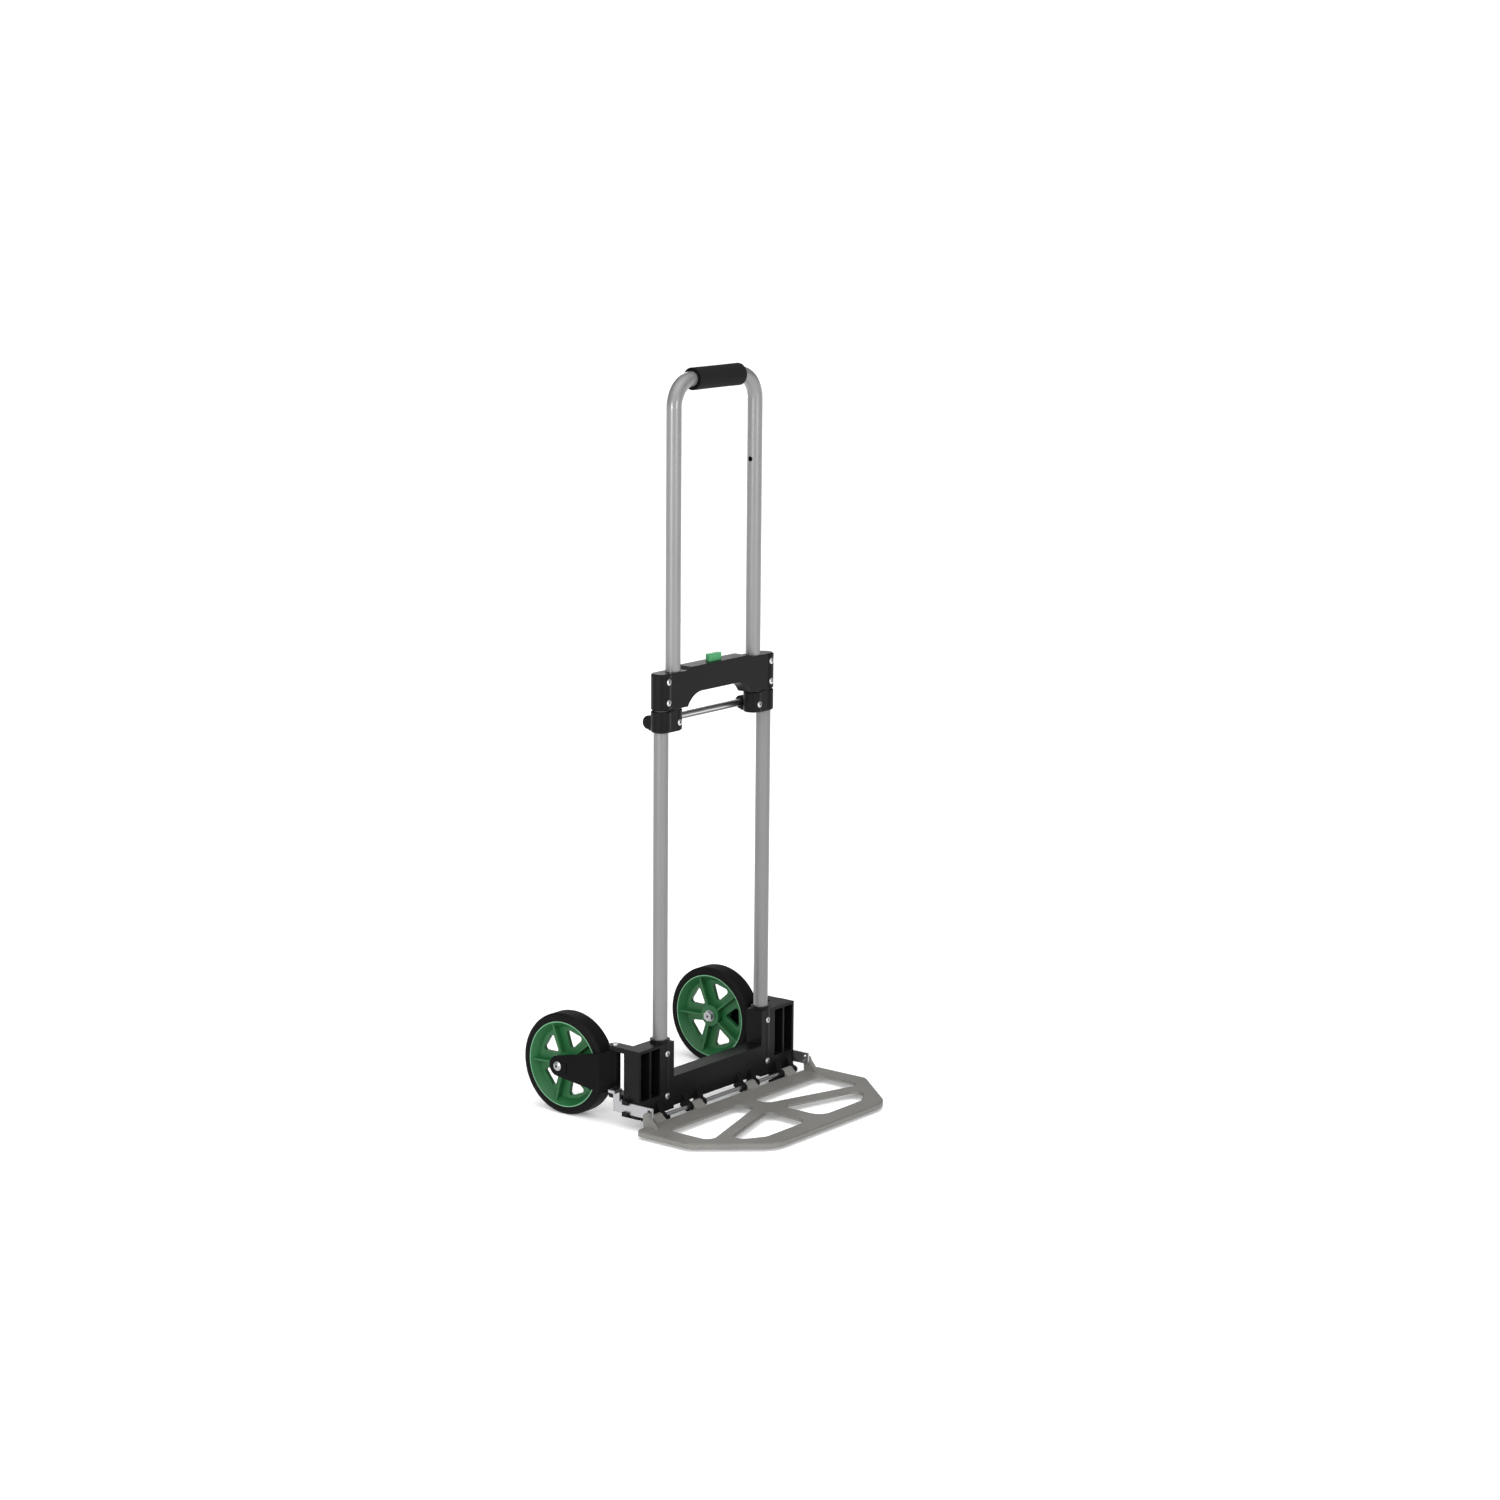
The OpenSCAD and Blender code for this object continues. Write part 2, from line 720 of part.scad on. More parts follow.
// Coil along Z from z = 0 to z = len, swept as rings of a thin wire.
module coil(coil_r, len) {
    wire_r = spring_wire / 2;
    sides = 6;
    steps = spring_steps * spring_turns;
    points = [for (i = [0 : steps], k = [0 : sides - 1])
        let (turn = 360 * spring_turns * i / steps, a = 360 * k / sides,
            r = coil_r + wire_r * cos(a))
        [r * cos(turn), r * sin(turn), wire_r + (len - 2 * wire_r) * i / steps + wire_r * sin(a)]];
    walls = [for (i = [0 : steps - 1], k = [0 : sides - 1])
        let (m = (k + 1) % sides)
        [i * sides + k, (i + 1) * sides + k, (i + 1) * sides + m, i * sides + m]];
    start = [for (k = [0 : sides - 1]) k];
    finish = [for (k = [sides - 1 : -1 : 0]) steps * sides + k];
    polyhedron(points, concat(walls, [start, finish]));
}

module button_spring() color(bright_steel) placed() {
    translate([0, 0, pocket_floor_z + fit_gap])
        coil(spring_notch - spring_side_gap, spring_seat_z - pocket_floor_z - 2 * fit_gap);
}

module lock_spring(side) color(bright_steel) placed() on_side(side) {
    x0 = stall_x + stall_t + fit_gap;
    translate([x0, 0, lock_z]) rotate([0, 90, 0]) coil(pin_r + lock_coil_gap, ring_x - x0 - fit_gap);
}

// ---------- lower tubes ----------

module lower_tube(side) color(silver_paint) placed() on_side(side) translate([lower_x, 0, 0])
difference() {
    z0 = socket_z + fit_gap;
    translate([0, 0, z0])
        linear_extrude(housing_end_z - socket_roof - fit_gap - z0) tube_ring();
    for (z = concat(housing_rivet_z, bracket_rivet_z))
        translate([0, 0, z]) y_rod(rivet_r + fit_gap, -tube_r - cut, 0);
}

// ---------- base bracket ----------

// Clevis ear for a wheel arm, in plan.
module arm_ear() {
    translate([hinge_x, hinge_setback]) circle(ear_r);
    rect([hinge_x - ear_r, 0], [hinge_x + ear_r, hinge_setback]);
}

// Ear that carries the toe hinge rod, in (Y, Z).
module toe_ear() {
    translate([toe_hinge_y, toe_hinge_z]) circle(toe_knuckle_r);
    polygon([
        [toe_hinge_y, toe_hinge_z + toe_knuckle_r], [-bracket_y, toe_hinge_z + toe_ear_rise],
        [toe_ear_root - bracket_y, toe_hinge_z + toe_ear_rise],
        [toe_ear_root - bracket_y, bracket_z0 - toe_ear_drop],
        [toe_hinge_y, toe_hinge_z - toe_knuckle_r]]);
}

// Hooked guides that keep a link against the side of the bracket.
module link_keeper() {
    lip_x = link_out_x + body_gap + keeper_t;
    low = link_z0 - body_gap;
    high = link_z1 + body_gap;
    for (z = [[low - keeper_t, low], [high, high + keeper_t]])
        block([bracket_x - overlap, keeper_y0, z[0]], [lip_x, keeper_y0 + keeper_w, z[1]]);
    for (z = [[low - keeper_t, low + keeper_lip], [high - keeper_lip, high + keeper_t]])
        block([lip_x - keeper_t, keeper_y0, z[0]], [lip_x, keeper_y0 + keeper_w, z[1]]);
}

module bracket_side() {
    block([block_x, -bracket_y, bracket_z0], [bracket_x, bracket_y, bracket_z1]);
    translate([lower_x, 0, bracket_z0]) cylinder(r = end_r, h = bracket_z1 - bracket_z0 + socket_lip);
    for (z = [arm_z0 - ear_gap - ear_t, arm_z1 + ear_gap])
        translate([0, 0, z]) linear_extrude(ear_t) arm_ear();
    for (x = toe_knuckle_x) {
        gap = toe_knuckle_w / 2 + end_play;
        side_plate(x - gap - toe_ear_w, x - gap) toe_ear();
        side_plate(x + gap, x + gap + toe_ear_w) toe_ear();
    }
    foot_x1 = toe_knuckle_x[1] - toe_knuckle_w / 2 - end_play;
    side_plate(foot_x1 - foot_w, foot_x1) polygon([
        [foot_front_y + foot_chamfer, 0], [foot_rear_y - foot_chamfer, 0],
        [foot_rear_y, foot_chamfer_h], [foot_rear_y, bracket_z0 + overlap],
        [foot_front_y, toe_hinge_z], [foot_front_y, foot_chamfer_h]]);
    link_keeper();
}

// Recesses that leave the side block as thin walls and ribs.
module side_recesses() {
    x0 = lower_x + end_r + recess_in_wall;
    x1 = bracket_x - recess_out_wall;
    pitch = (x1 - x0 + recess_web) / 2;
    for (i = [0, 1]) block([x0 + i * pitch, -bracket_y - cut, bracket_z0 + recess_floor],
        [x0 + (i + 1) * pitch - recess_web, bracket_y - recess_back, bracket_z1 - recess_roof]);
}

module base_bracket() color(black_plastic) placed() difference() {
    union() {
        for (side = [-1, 1]) on_side(side) bracket_side();
        block([-block_x - overlap, -bracket_y, beam_z0], [block_x + overlap, bracket_y, beam_z1]);
    }
    pitch = 2 * block_x / beam_ribs;
    for (i = [0 : beam_ribs - 1])
        block([-block_x + i * pitch + beam_wall / 2, -bracket_y + beam_wall, beam_z0 - cut],
            [-block_x + (i + 1) * pitch - beam_wall / 2, bracket_y - beam_wall, beam_z1 - beam_wall]);
    for (side = [-1, 1]) on_side(side) {
        side_recesses();
        translate([lower_x, 0, socket_z]) cylinder(r = tube_r + fit_gap, h = bracket_z1);
        translate([hinge_x, hinge_setback, 0]) cylinder(r = hinge_pin_r + fit_gap, h = 2 * bracket_z1);
        for (z = bracket_rivet_z) translate([lower_x, 0, z]) rivet_hole(end_r - rivet_flat);
    }
    translate([0, toe_hinge_y, toe_hinge_z]) x_rod(hinge_pin_r + fit_gap, -bracket_x, bracket_x);
}

module bracket_rivets() color(bright_steel) placed() {
    for (side = [-1, 1], z = bracket_rivet_z) translate([side * lower_x, 0, z])
        rivet(end_r - rivet_flat);
}

module toe_hinge_rod() color(bright_steel) placed()
translate([0, toe_hinge_y, toe_hinge_z]) {
    x_rod(hinge_pin_r, -toe_rod_x, toe_rod_x);
    for (side = [-1, 1]) on_side(side) x_rod(rod_cap_r, toe_rod_x - rod_cap_h, toe_rod_x);
}

// ---------- toe plate ----------

// Outer edge of the plate, moved outwards by g.
module toe_outline(g = 0) {
    front = [toe_front_w / 2, toe_corner_r - toe_reach, toe_corner_r];
    shoulder = [toe_w / 2 - toe_side_r, -toe_shoulder, toe_side_r];
    rear = [toe_w / 2 - toe_rear_r, toe_rear_y - toe_rear_r, toe_rear_r];
    round_outline([left_of(front), front, shoulder, rear, left_of(rear), left_of(shoulder)], g);
}

function left_of(c) = [-c.x, c.y, c.z];

// Front and rear openings of both halves, moved outwards by g.
module toe_openings(g = 0) {
    rib = toe_rib_w / 2;
    side = toe_w / 2 - toe_side_bar - toe_hole_r;
    y0 = -toe_reach + toe_bar_w;
    y1 = toe_rear_y - toe_rear_bar;
    depth = y1 - y0;
    for (s = [-1, 1]) mirror([s < 0 ? 1 : 0, 0]) {
        round_outline([
            [rib + toe_root_r, y0 + toe_root_at * depth, toe_root_r],
            [rib + toe_front_r, y0 + toe_front_r, toe_front_r],
            [toe_front_w / 2 - toe_bend_in, y0 + toe_bend_r, toe_bend_r],
            [toe_front_w / 2 + toe_tip_out, y0 + toe_tip_at * depth, toe_tip_r]], g);
        round_outline([
            [rib + toe_hole_r, y0 + toe_brace_in_at * depth, toe_hole_r],
            [side, y0 + toe_brace_out_at * depth, toe_hole_r],
            [side, y1 - toe_hole_r, toe_hole_r],
            [rib + toe_hole_r, y1 - toe_hole_r, toe_hole_r]], g);
    }
}

// Plate outline with its openings, all edges drawn in by g.
module toe_sheet(g = 0) {
    difference() {
        toe_outline(-g);
        toe_openings(g);
    }
}

// Knuckle that turns on the toe hinge rod, in (Y, Z).
module toe_knuckle() {
    translate([toe_hinge_y, toe_hinge_z]) circle(toe_knuckle_r);
    polygon([
        [toe_rear_y - toe_knuckle_root, toe_z0], [toe_hinge_y, toe_hinge_z - toe_knuckle_r],
        [toe_hinge_y, toe_hinge_z + toe_knuckle_r], [toe_rear_y - toe_knuckle_root, toe_top]]);
}

// Heel that drives the link, in (Y, Z).
module toe_heel() {
    translate([peg_y, peg_z]) circle(heel_r);
    polygon([
        [toe_rear_y - heel_root, toe_top - overlap], [toe_rear_y, toe_top - overlap],
        [peg_y + heel_r, peg_z], [peg_y - heel_r, peg_z]]);
}

module toe_plate() color(grey_paint) placed() difference() {
    union() {
        translate([0, 0, toe_z0]) linear_extrude(toe_rim_h - toe_chamfer) toe_sheet();
        translate([0, 0, toe_z0]) linear_extrude(toe_rim_h) toe_sheet(toe_chamfer);
        for (side = [-1, 1]) on_side(side) {
            for (x = toe_knuckle_x)
                side_plate(x - toe_knuckle_w / 2, x + toe_knuckle_w / 2) toe_knuckle();
            side_plate(heel_in_x, heel_in_x + heel_t) toe_heel();
            translate([0, peg_y, peg_z]) x_rod(link_peg_r, link_in_x + peg_tip_gap, heel_in_x + overlap);
        }
    }
    translate([0, 0, toe_z0 - cut]) linear_extrude(toe_rim_h - toe_t + cut) toe_sheet(toe_t);
    translate([0, 0, toe_z0 - cut]) linear_extrude(toe_rim_h - toe_flange_h + cut) toe_outline(-toe_t);
    translate([0, toe_hinge_y, toe_hinge_z]) x_rod(hinge_pin_r + run_gap, -bracket_x, bracket_x);
}

module toe_feet() color(black_rubber) placed() {
    for (side = [-1, 1])
        translate([side * toe_foot_x, -toe_reach + toe_bar_w / 2, 0]) {
            cylinder(r1 = toe_foot_r - toe_foot_c, r2 = toe_foot_r, h = toe_foot_c);
            translate([0, 0, toe_foot_c]) cylinder(r = toe_foot_r, h = toe_top - toe_t - toe_foot_c);
        }
}

// ---------- links ----------

module link(side) color(bright_steel) placed() on_side(side) difference() {
    front_y = peg_y - slot_r - slot_wall;
    rear_y = crank_y + slot_r + slot_wall;
    union() {
        side_plate(link_in_x, link_out_x) {
            rect([front_y, link_z0], [rear_y, link_z1]);
            rect([crank_y - slot_r - slot_wall, link_z0], [rear_y, tab_z0 + tab_t]);
        }
        block([tab_in_x, crank_y - slot_r - slot_wall, tab_z0], [tab_out_x, rear_y, tab_z0 + tab_t]);
    }
    // upright slot for the toe plate's peg
    side_plate(link_in_x - cut, link_out_x + cut) {
        for (z = [peg_z, toe_hinge_z + crank_r]) translate([peg_y, z]) circle(slot_r);
        rect([peg_y - slot_r, peg_z], [peg_y + slot_r, toe_hinge_z + crank_r]);
    }
    // crosswise slot for the crank peg of the wheel arm
    translate([0, 0, tab_z0 - cut]) linear_extrude(tab_t + 2 * cut) {
        for (x = [crank_x, hinge_x + crank_r]) translate([x, crank_y]) circle(slot_r);
        rect([crank_x, crank_y - slot_r], [hinge_x + crank_r, crank_y + slot_r]);
    }
}

// ---------- wheel arms ----------

// Side view of the arm, in (Y, Z).
module arm_side() {
    translate([axle_setback, axle_z]) circle(arm_end_r);
    polygon([
        [hinge_setback - knuckle_r - cut, arm_z0], [hinge_setback, arm_z0],
        [axle_setback, axle_z - arm_end_r], [axle_setback, axle_z + arm_end_r],
        [hinge_setback, arm_z1], [hinge_setback - knuckle_r - cut, arm_z1]]);
}

// Plan view of the arm: beside the wheel, then cranked in to its hinge.
module arm_plan() {
    polygon([
        [arm_in_x, hinge_setback + arm_bend_in], [arm_in_x, axle_setback + arm_end_r + cut],
        [arm_out_x, axle_setback + arm_end_r + cut], [arm_out_x, hinge_setback + arm_bend_out],
        [hinge_x + arm_nose, hinge_setback - arm_nose], [hinge_x, hinge_setback],
        [hinge_x, hinge_setback + knuckle_r - arm_fair],
        [arm_in_x - arm_web_in, hinge_setback + arm_web_back]]);
}

module wheel_arm(side) color(black_plastic) placed() on_side(side) difference() {
    union() {
        intersection() {
            side_plate(hinge_x - overlap, arm_out_x) arm_side();
            translate([0, 0, arm_z0]) linear_extrude(arm_z1 - arm_z0) arm_plan();
        }
        translate([hinge_x, hinge_setback, arm_z0]) cylinder(r = knuckle_r, h = arm_z1 - arm_z0);
        // crank with its downward peg
        translate([hinge_x, hinge_setback, crank_z0]) rotate(-crank_angle)
            linear_extrude(crank_t) {
                rect([0, -crank_half_w], [crank_r, crank_half_w]);
                translate([crank_r, 0]) circle(crank_half_w);
            }
        translate([crank_x, crank_y, tab_z0 - overlap])
            cylinder(r = link_peg_r, h = crank_z0 - tab_z0 + 2 * overlap);
    }
    translate([hinge_x, hinge_setback, 0]) cylinder(r = hinge_pin_r + run_gap, h = 2 * arm_z1);
    translate([0, axle_setback, axle_z]) x_rod(axle_d / 2 + fit_gap, arm_in_x - cut, arm_out_x + cut);
    mark_y = axle_setback - arm_end_r - arm_mark_gap;
    block([arm_out_x - arm_mark_depth, mark_y - arm_mark_w, axle_z - arm_mark_half_h],
        [arm_out_x + cut, mark_y, axle_z + arm_mark_half_h]);
}

module wheel_hinge_pin(side) color(bright_steel) placed() on_side(side)
translate([hinge_x, hinge_setback, 0]) {
    z0 = arm_z0 - ear_gap - ear_t;
    translate([0, 0, z0]) cylinder(r = hinge_pin_r, h = bracket_z1 - z0 + pin_root);
    head_r = hinge_pin_r + pin_head_out;
    tail_r = hinge_pin_r + pin_tail_out;
    translate([0, 0, bracket_z1]) cylinder(r1 = head_r, r2 = head_r - pin_end_c, h = pin_head_h);
    translate([0, 0, z0 - pin_tail_h]) cylinder(r1 = tail_r - pin_end_c, r2 = tail_r, h = pin_tail_h);
}

// ---------- wheels ----------

// Section of the rim: hub, web and felloe, as (radius, distance from the
// wheel's middle plane).
module rim_section() {
    face = wheel_w / 2 - rim_inset;
    rim_r = rim_d / 2;
    rect([axle_d / 2 + run_gap, hub_out - wheel_w / 2], [hub_d / 2, wheel_w / 2 + hub_out]);
    rect([hub_d / 2 - cut, -web_half], [rim_r - felloe_lip, web_half]);
    polygon([
        [rim_r - felloe_foot, -web_half], [rim_r - felloe_lip, -face], [rim_r, -face],
        [rim_r, face], [rim_r - felloe_lip, face], [rim_r - felloe_foot, web_half]]);
}

// Rounded triangular window, point towards the hub.
module rim_window() {
    tip = hub_d / 2 + window_root + window_r;
    reach = rim_d / 2 - felloe_foot - window_lip - window_r;
    spread = window_spread / spokes;
    round_outline([
        [tip, 0, window_r], [reach * cos(spread), -reach * sin(spread), window_r],
        [reach * cos(spread), reach * sin(spread), window_r]]);
}

module rim(side) color(green_plastic) placed() on_side(side)
translate([wheel_x, axle_setback, axle_z]) rotate([90, 0, 90]) difference() {
    pitch = 360 / spokes;
    rib_half_w = wheel_w / 2 - rib_inset;
    union() {
        rotate_extrude() rim_section();
        for (i = [0 : spokes - 1]) rotate(rib_angle + i * pitch)
            block([hub_d / 2 - cut, -rib_t / 2, -rib_half_w],
                [rim_d / 2 - felloe_lip - cut, rib_t / 2, rib_half_w]);
    }
    for (i = [0 : spokes - 1]) rotate(rib_angle + (i + 0.5) * pitch)
        linear_extrude(wheel_w, center = true) rim_window();
}

module tyre(side) color(black_rubber) placed() on_side(side)
translate([wheel_x, axle_setback, axle_z]) rotate([0, 90, 0]) rotate_extrude() {
    half_w = wheel_w / 2;
    seat_r = rim_d / 2 + fit_gap;
    edge_r = (wheel_r - seat_r) * tyre_round;
    rect([seat_r, -half_w], [wheel_r - edge_r, half_w]);
    round_rect([seat_r, -half_w], [wheel_r, half_w], edge_r);
}

module axle_bolt(side) color(bright_steel) placed() on_side(side)
translate([0, axle_setback, axle_z]) {
    x_rod(axle_d / 2, wheel_x - wheel_w / 2 - bolt_tail, arm_out_x + pin_root);
    translate([arm_out_x, 0, 0]) rotate([0, 90, 0]) difference() {
        rotate_extrude() dome(bolt_head_r, bolt_edge_h, bolt_head_h);
        translate([0, 0, bolt_head_h - bolt_socket_h]) cylinder(r = bolt_socket_r, h = 2 * bolt_socket_h);
    }
}

module axle_nut(side) color(bright_steel) placed() on_side(side)
translate([0, axle_setback, axle_z]) difference() {
    x1 = hub_in_x - 2 * end_play - washer_t;
    translate([x1 - nut_h, 0, 0]) rotate([0, 90, 0]) cylinder(r = nut_r, h = nut_h, $fn = 6);
    x_rod(axle_d / 2 + fit_gap, x1 - nut_h - cut, x1 + cut);
}

module axle_washers(side) color(bright_steel) placed() on_side(side)
translate([0, axle_setback, axle_z]) {
    for (x = [[hub_in_x - end_play - washer_t, hub_in_x - end_play],
            [hub_out_x + end_play, arm_in_x - end_play]])
        difference() {
            x_rod(axle_d, x[0], x[1]);
            x_rod(axle_d / 2 + fit_gap, x[0] - cut, x[1] + cut);
        }
}

base_bracket();
lower_tube(-1);  // lower_tube_left
lower_tube(1);  // lower_tube_right
bracket_rivets();
toe_plate();
toe_feet();
toe_hinge_rod();
link(-1);  // link_left
link(1);  // link_right
wheel_arm(-1);  // wheel_arm_left
wheel_arm(1);  // wheel_arm_right
wheel_hinge_pin(-1);  // wheel_hinge_pin_left
wheel_hinge_pin(1);  // wheel_hinge_pin_right
rim(-1);  // rim_left
rim(1);  // rim_right
tyre(-1);  // tyre_left
tyre(1);  // tyre_right
axle_bolt(-1);  // axle_bolt_left
axle_bolt(1);  // axle_bolt_right
axle_nut(-1);  // axle_nut_left
axle_nut(1);  // axle_nut_right
axle_washers(-1);  // axle_washers_left
axle_washers(1);  // axle_washers_right
lock_housing();
housing_cover();
cover_screws();
housing_rivets();
release_button();
button_spring();
lock_pin(-1);  // lock_pin_left
lock_pin(1);  // lock_pin_right
lock_spring(-1);  // lock_spring_left
lock_spring(1);  // lock_spring_right
handle_tube();
foam_grip();
collar(-1);  // collar_left
collar(1);  // collar_right
collar_rivets();
cross_rod();
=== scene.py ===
import math

import bpy
import numpy as np
from mathutils import Matrix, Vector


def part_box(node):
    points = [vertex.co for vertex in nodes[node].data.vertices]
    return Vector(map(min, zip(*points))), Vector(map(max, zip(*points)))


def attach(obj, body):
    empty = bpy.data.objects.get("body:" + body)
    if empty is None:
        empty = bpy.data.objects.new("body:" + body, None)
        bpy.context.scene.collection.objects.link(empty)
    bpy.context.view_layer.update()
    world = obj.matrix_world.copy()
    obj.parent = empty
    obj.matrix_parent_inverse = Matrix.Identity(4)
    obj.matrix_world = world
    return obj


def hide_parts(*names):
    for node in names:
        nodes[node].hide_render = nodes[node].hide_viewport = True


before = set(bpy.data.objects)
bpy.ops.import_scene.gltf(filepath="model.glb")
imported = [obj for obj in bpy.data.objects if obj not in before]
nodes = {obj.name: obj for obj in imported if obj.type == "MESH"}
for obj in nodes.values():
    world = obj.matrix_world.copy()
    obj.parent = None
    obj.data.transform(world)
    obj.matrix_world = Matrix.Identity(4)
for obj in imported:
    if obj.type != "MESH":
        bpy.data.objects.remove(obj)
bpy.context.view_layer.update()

print("frame loaded:", len(nodes), "CAD nodes")


# shader maths: plain expressions on wires make the Math nodes

class Wire:
    # one output of a node, with the NodeTree that makes the nodes after it
    def __init__(self, maker, socket):
        self.maker = maker
        self.socket = socket

    def maths(self, operation, first, second=0.0):
        made = self.maker.node("ShaderNodeMath", {"operation": operation}, {0: first, 1: second})
        return made.out("Value")

    def __add__(self, other):
        return self.maths("ADD", self, other)

    def __radd__(self, other):
        return self.maths("ADD", other, self)

    def __sub__(self, other):
        return self.maths("SUBTRACT", self, other)

    def __rsub__(self, other):
        return self.maths("SUBTRACT", other, self)

    def __mul__(self, other):
        return self.maths("MULTIPLY", self, other)

    def __rmul__(self, other):
        return self.maths("MULTIPLY", other, self)

    def __truediv__(self, other):
        return self.maths("DIVIDE", self, other)

    def __pow__(self, other):
        return self.maths("POWER", self, other)

    def below(self, other):
        return self.maths("LESS_THAN", self, other)

    def lower(self, other):
        return self.maths("MINIMUM", self, other)

    def higher(self, other):
        return self.maths("MAXIMUM", self, other)

    def wave(self):
        return self.maths("SINE", self)

    def size(self):
        return self.maths("ABSOLUTE", self)


class NodeBox:
    # a node that has been made, whose outputs are taken as wires
    def __init__(self, maker, made):
        self.maker = maker
        self.made = made

    def out(self, name=0):
        return Wire(self.maker, self.made.outputs[name])


class NodeTree:
    # the shader tree of a material or a world, emptied and filled anew
    edgeSamples = 6

    def __init__(self, owner):
        owner.use_nodes = True
        self.tree = owner.node_tree
        self.tree.nodes.clear()

    def put(self, socket, value):
        # a wire is linked to the socket; anything else is its plain value
        if isinstance(value, Wire):
            self.tree.links.new(value.socket, socket)
        else:
            socket.default_value = value

    def node(self, kind, settings, inputs):
        # any node: first its settings, then the values or wires of its sockets
        made = self.tree.nodes.new(kind)
        for key, value in settings.items():
            if key == "stops":
                for stop, (place, tone) in zip(made.color_ramp.elements, value):
                    stop.position = place
                    stop.color = (*tone, 1.0)
            else:
                setattr(made, key, value)
        for key, value in inputs.items():
            self.put(made.inputs[key], value)
        return NodeBox(self, made)

    def place(self, centre=(0, 0, 0), stretch=(1, 1, 1)):
        # object coordinates about a centre, stretched along the axes
        spot = self.node("ShaderNodeTexCoord", {}, {}).out("Object")
        shifted = self.node("ShaderNodeVectorMath", {"operation": "SUBTRACT"}, {0: spot, 1: centre})
        scaled = self.node("ShaderNodeVectorMath", {"operation": "MULTIPLY"},
                           {0: shifted.out("Vector"), 1: stretch})
        return scaled.out("Vector")

    def noise(self, scale, detail=2.0, rough=0.5):
        # cloudy noise, as fine as its scale: one number, or one for each axis
        stretch = scale if isinstance(scale, tuple) else (scale, scale, scale)
        return self.node("ShaderNodeTexNoise", {},
                         {"Vector": self.place(stretch=stretch), "Scale": 1.0,
                          "Detail": detail, "Roughness": rough}).out(0)

    def cells(self, scale):
        # the distance to the middle of the nearest of many scattered cells
        return self.node("ShaderNodeTexVoronoi", {},
                         {"Vector": self.place(), "Scale": scale}).out("Distance")

    def ramp(self, value, low, high):
        # nought up to the low value, one from the high value, even between them
        return self.node("ShaderNodeValToRGB", {"stops": [(low, (0, 0, 0)), (high, (1, 1, 1))]},
                         {"Fac": value}).out("Color")

    def blend(self, mask, first, last):
        # the first colour where the mask is nought, the last where it is one;
        # a colour mix has its factor in socket 0, its colours in 6 and 7, and its result in output 2
        made = self.node("ShaderNodeMix", {"data_type": "RGBA"},
                         {0: mask, 6: colour(first), 7: colour(last)})
        return made.out(2)

    def parts(self, where):
        made = self.node("ShaderNodeSeparateXYZ", {}, {0: where})
        return [made.out(axis) for axis in range(3)]

    def bump(self, height, depth, edge=None):
        # a relief from a height; an edge radius also rounds the look of sharp edges
        inputs = {"Height": height, "Distance": depth}
        if edge:
            rounded = self.node("ShaderNodeBevel", {"samples": self.edgeSamples}, {"Radius": edge})
            inputs["Normal"] = rounded.out("Normal")
        return self.node("ShaderNodeBump", {}, inputs).out("Normal")

    def nearness(self, distance, radius, fade):
        # one inside the radius, nought beyond it, with a short fade between
        return ((radius + fade - distance) / fade).higher(0.0).lower(1.0)

    def finish(self, kind, shader):
        self.node(kind, {}, {"Surface": shader.out()})


class Paint(NodeTree):
    # one material; what is the same all over goes straight on the shader's own sockets
    def __init__(self, name, fixed):
        self.material = bpy.data.materials.new(name)
        super().__init__(self.material)
        self.shader = self.node("ShaderNodeBsdfPrincipled", {}, fixed)
        self.finish("ShaderNodeOutputMaterial", self.shader)

    def feed(self, inputs):
        for key, value in inputs.items():
            self.put(self.shader.made.inputs[key], value)


def colour(value):
    # a wire passes through; three numbers gain an alpha of one
    return value if isinstance(value, Wire) else (*value, 1.0)


def weigh(shares, *wires):
    # the sum of the wires, each times its share
    total = wires[0] * shares[0]
    for share, wire in zip(shares[1:], wires[1:]):
        total = total + wire * share
    return total


def middle(node):
    low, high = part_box(node)
    return tuple((a + b) / 2 for a, b in zip(low, high))


# materials: lengths are in metres, and a noise's scale is about how many waves it has to the metre

silver = {
    "handlePaint": {"light": (0.222, 0.223, 0.222), "dark": (0.163, 0.164, 0.163)},
    # the lower tubes: a darker copy of the handle's paint, as painted shade
    "shadedTubePaint": {"light": (0.184, 0.185, 0.184), "dark": (0.133, 0.134, 0.133)},
    "fixed": {"Metallic": 0.3, "Specular IOR Level": 0.5, "Coat Weight": 0.4, "Coat Roughness": 0.09},
    "drift": {"scale": 9.0},
    "flake": {"scale": 2600.0, "detail": 1.0},
    "drawn": {"scale": (260, 260, 6)},
    "toneShares": (0.45, 0.30, 0.25),  # drift, flake, drawn
    "rough": 0.30,
    "roughShares": (0.08, 0.05),  # drift, flake
    "peel": {"scale": 420.0},
    "relief": 0.00005,
    "edge": 0.0004,
    # painted shade: the near-black colour of a tube's inner wall
    "bore": (0.006, 0.006, 0.006),
    "skin": 0.0007,  # the wall that keeps its paint at a tube's end
    "boreFade": 0.0001,
    "bendDrop": 0.075,  # from the handle's top down to where its legs run straight
}


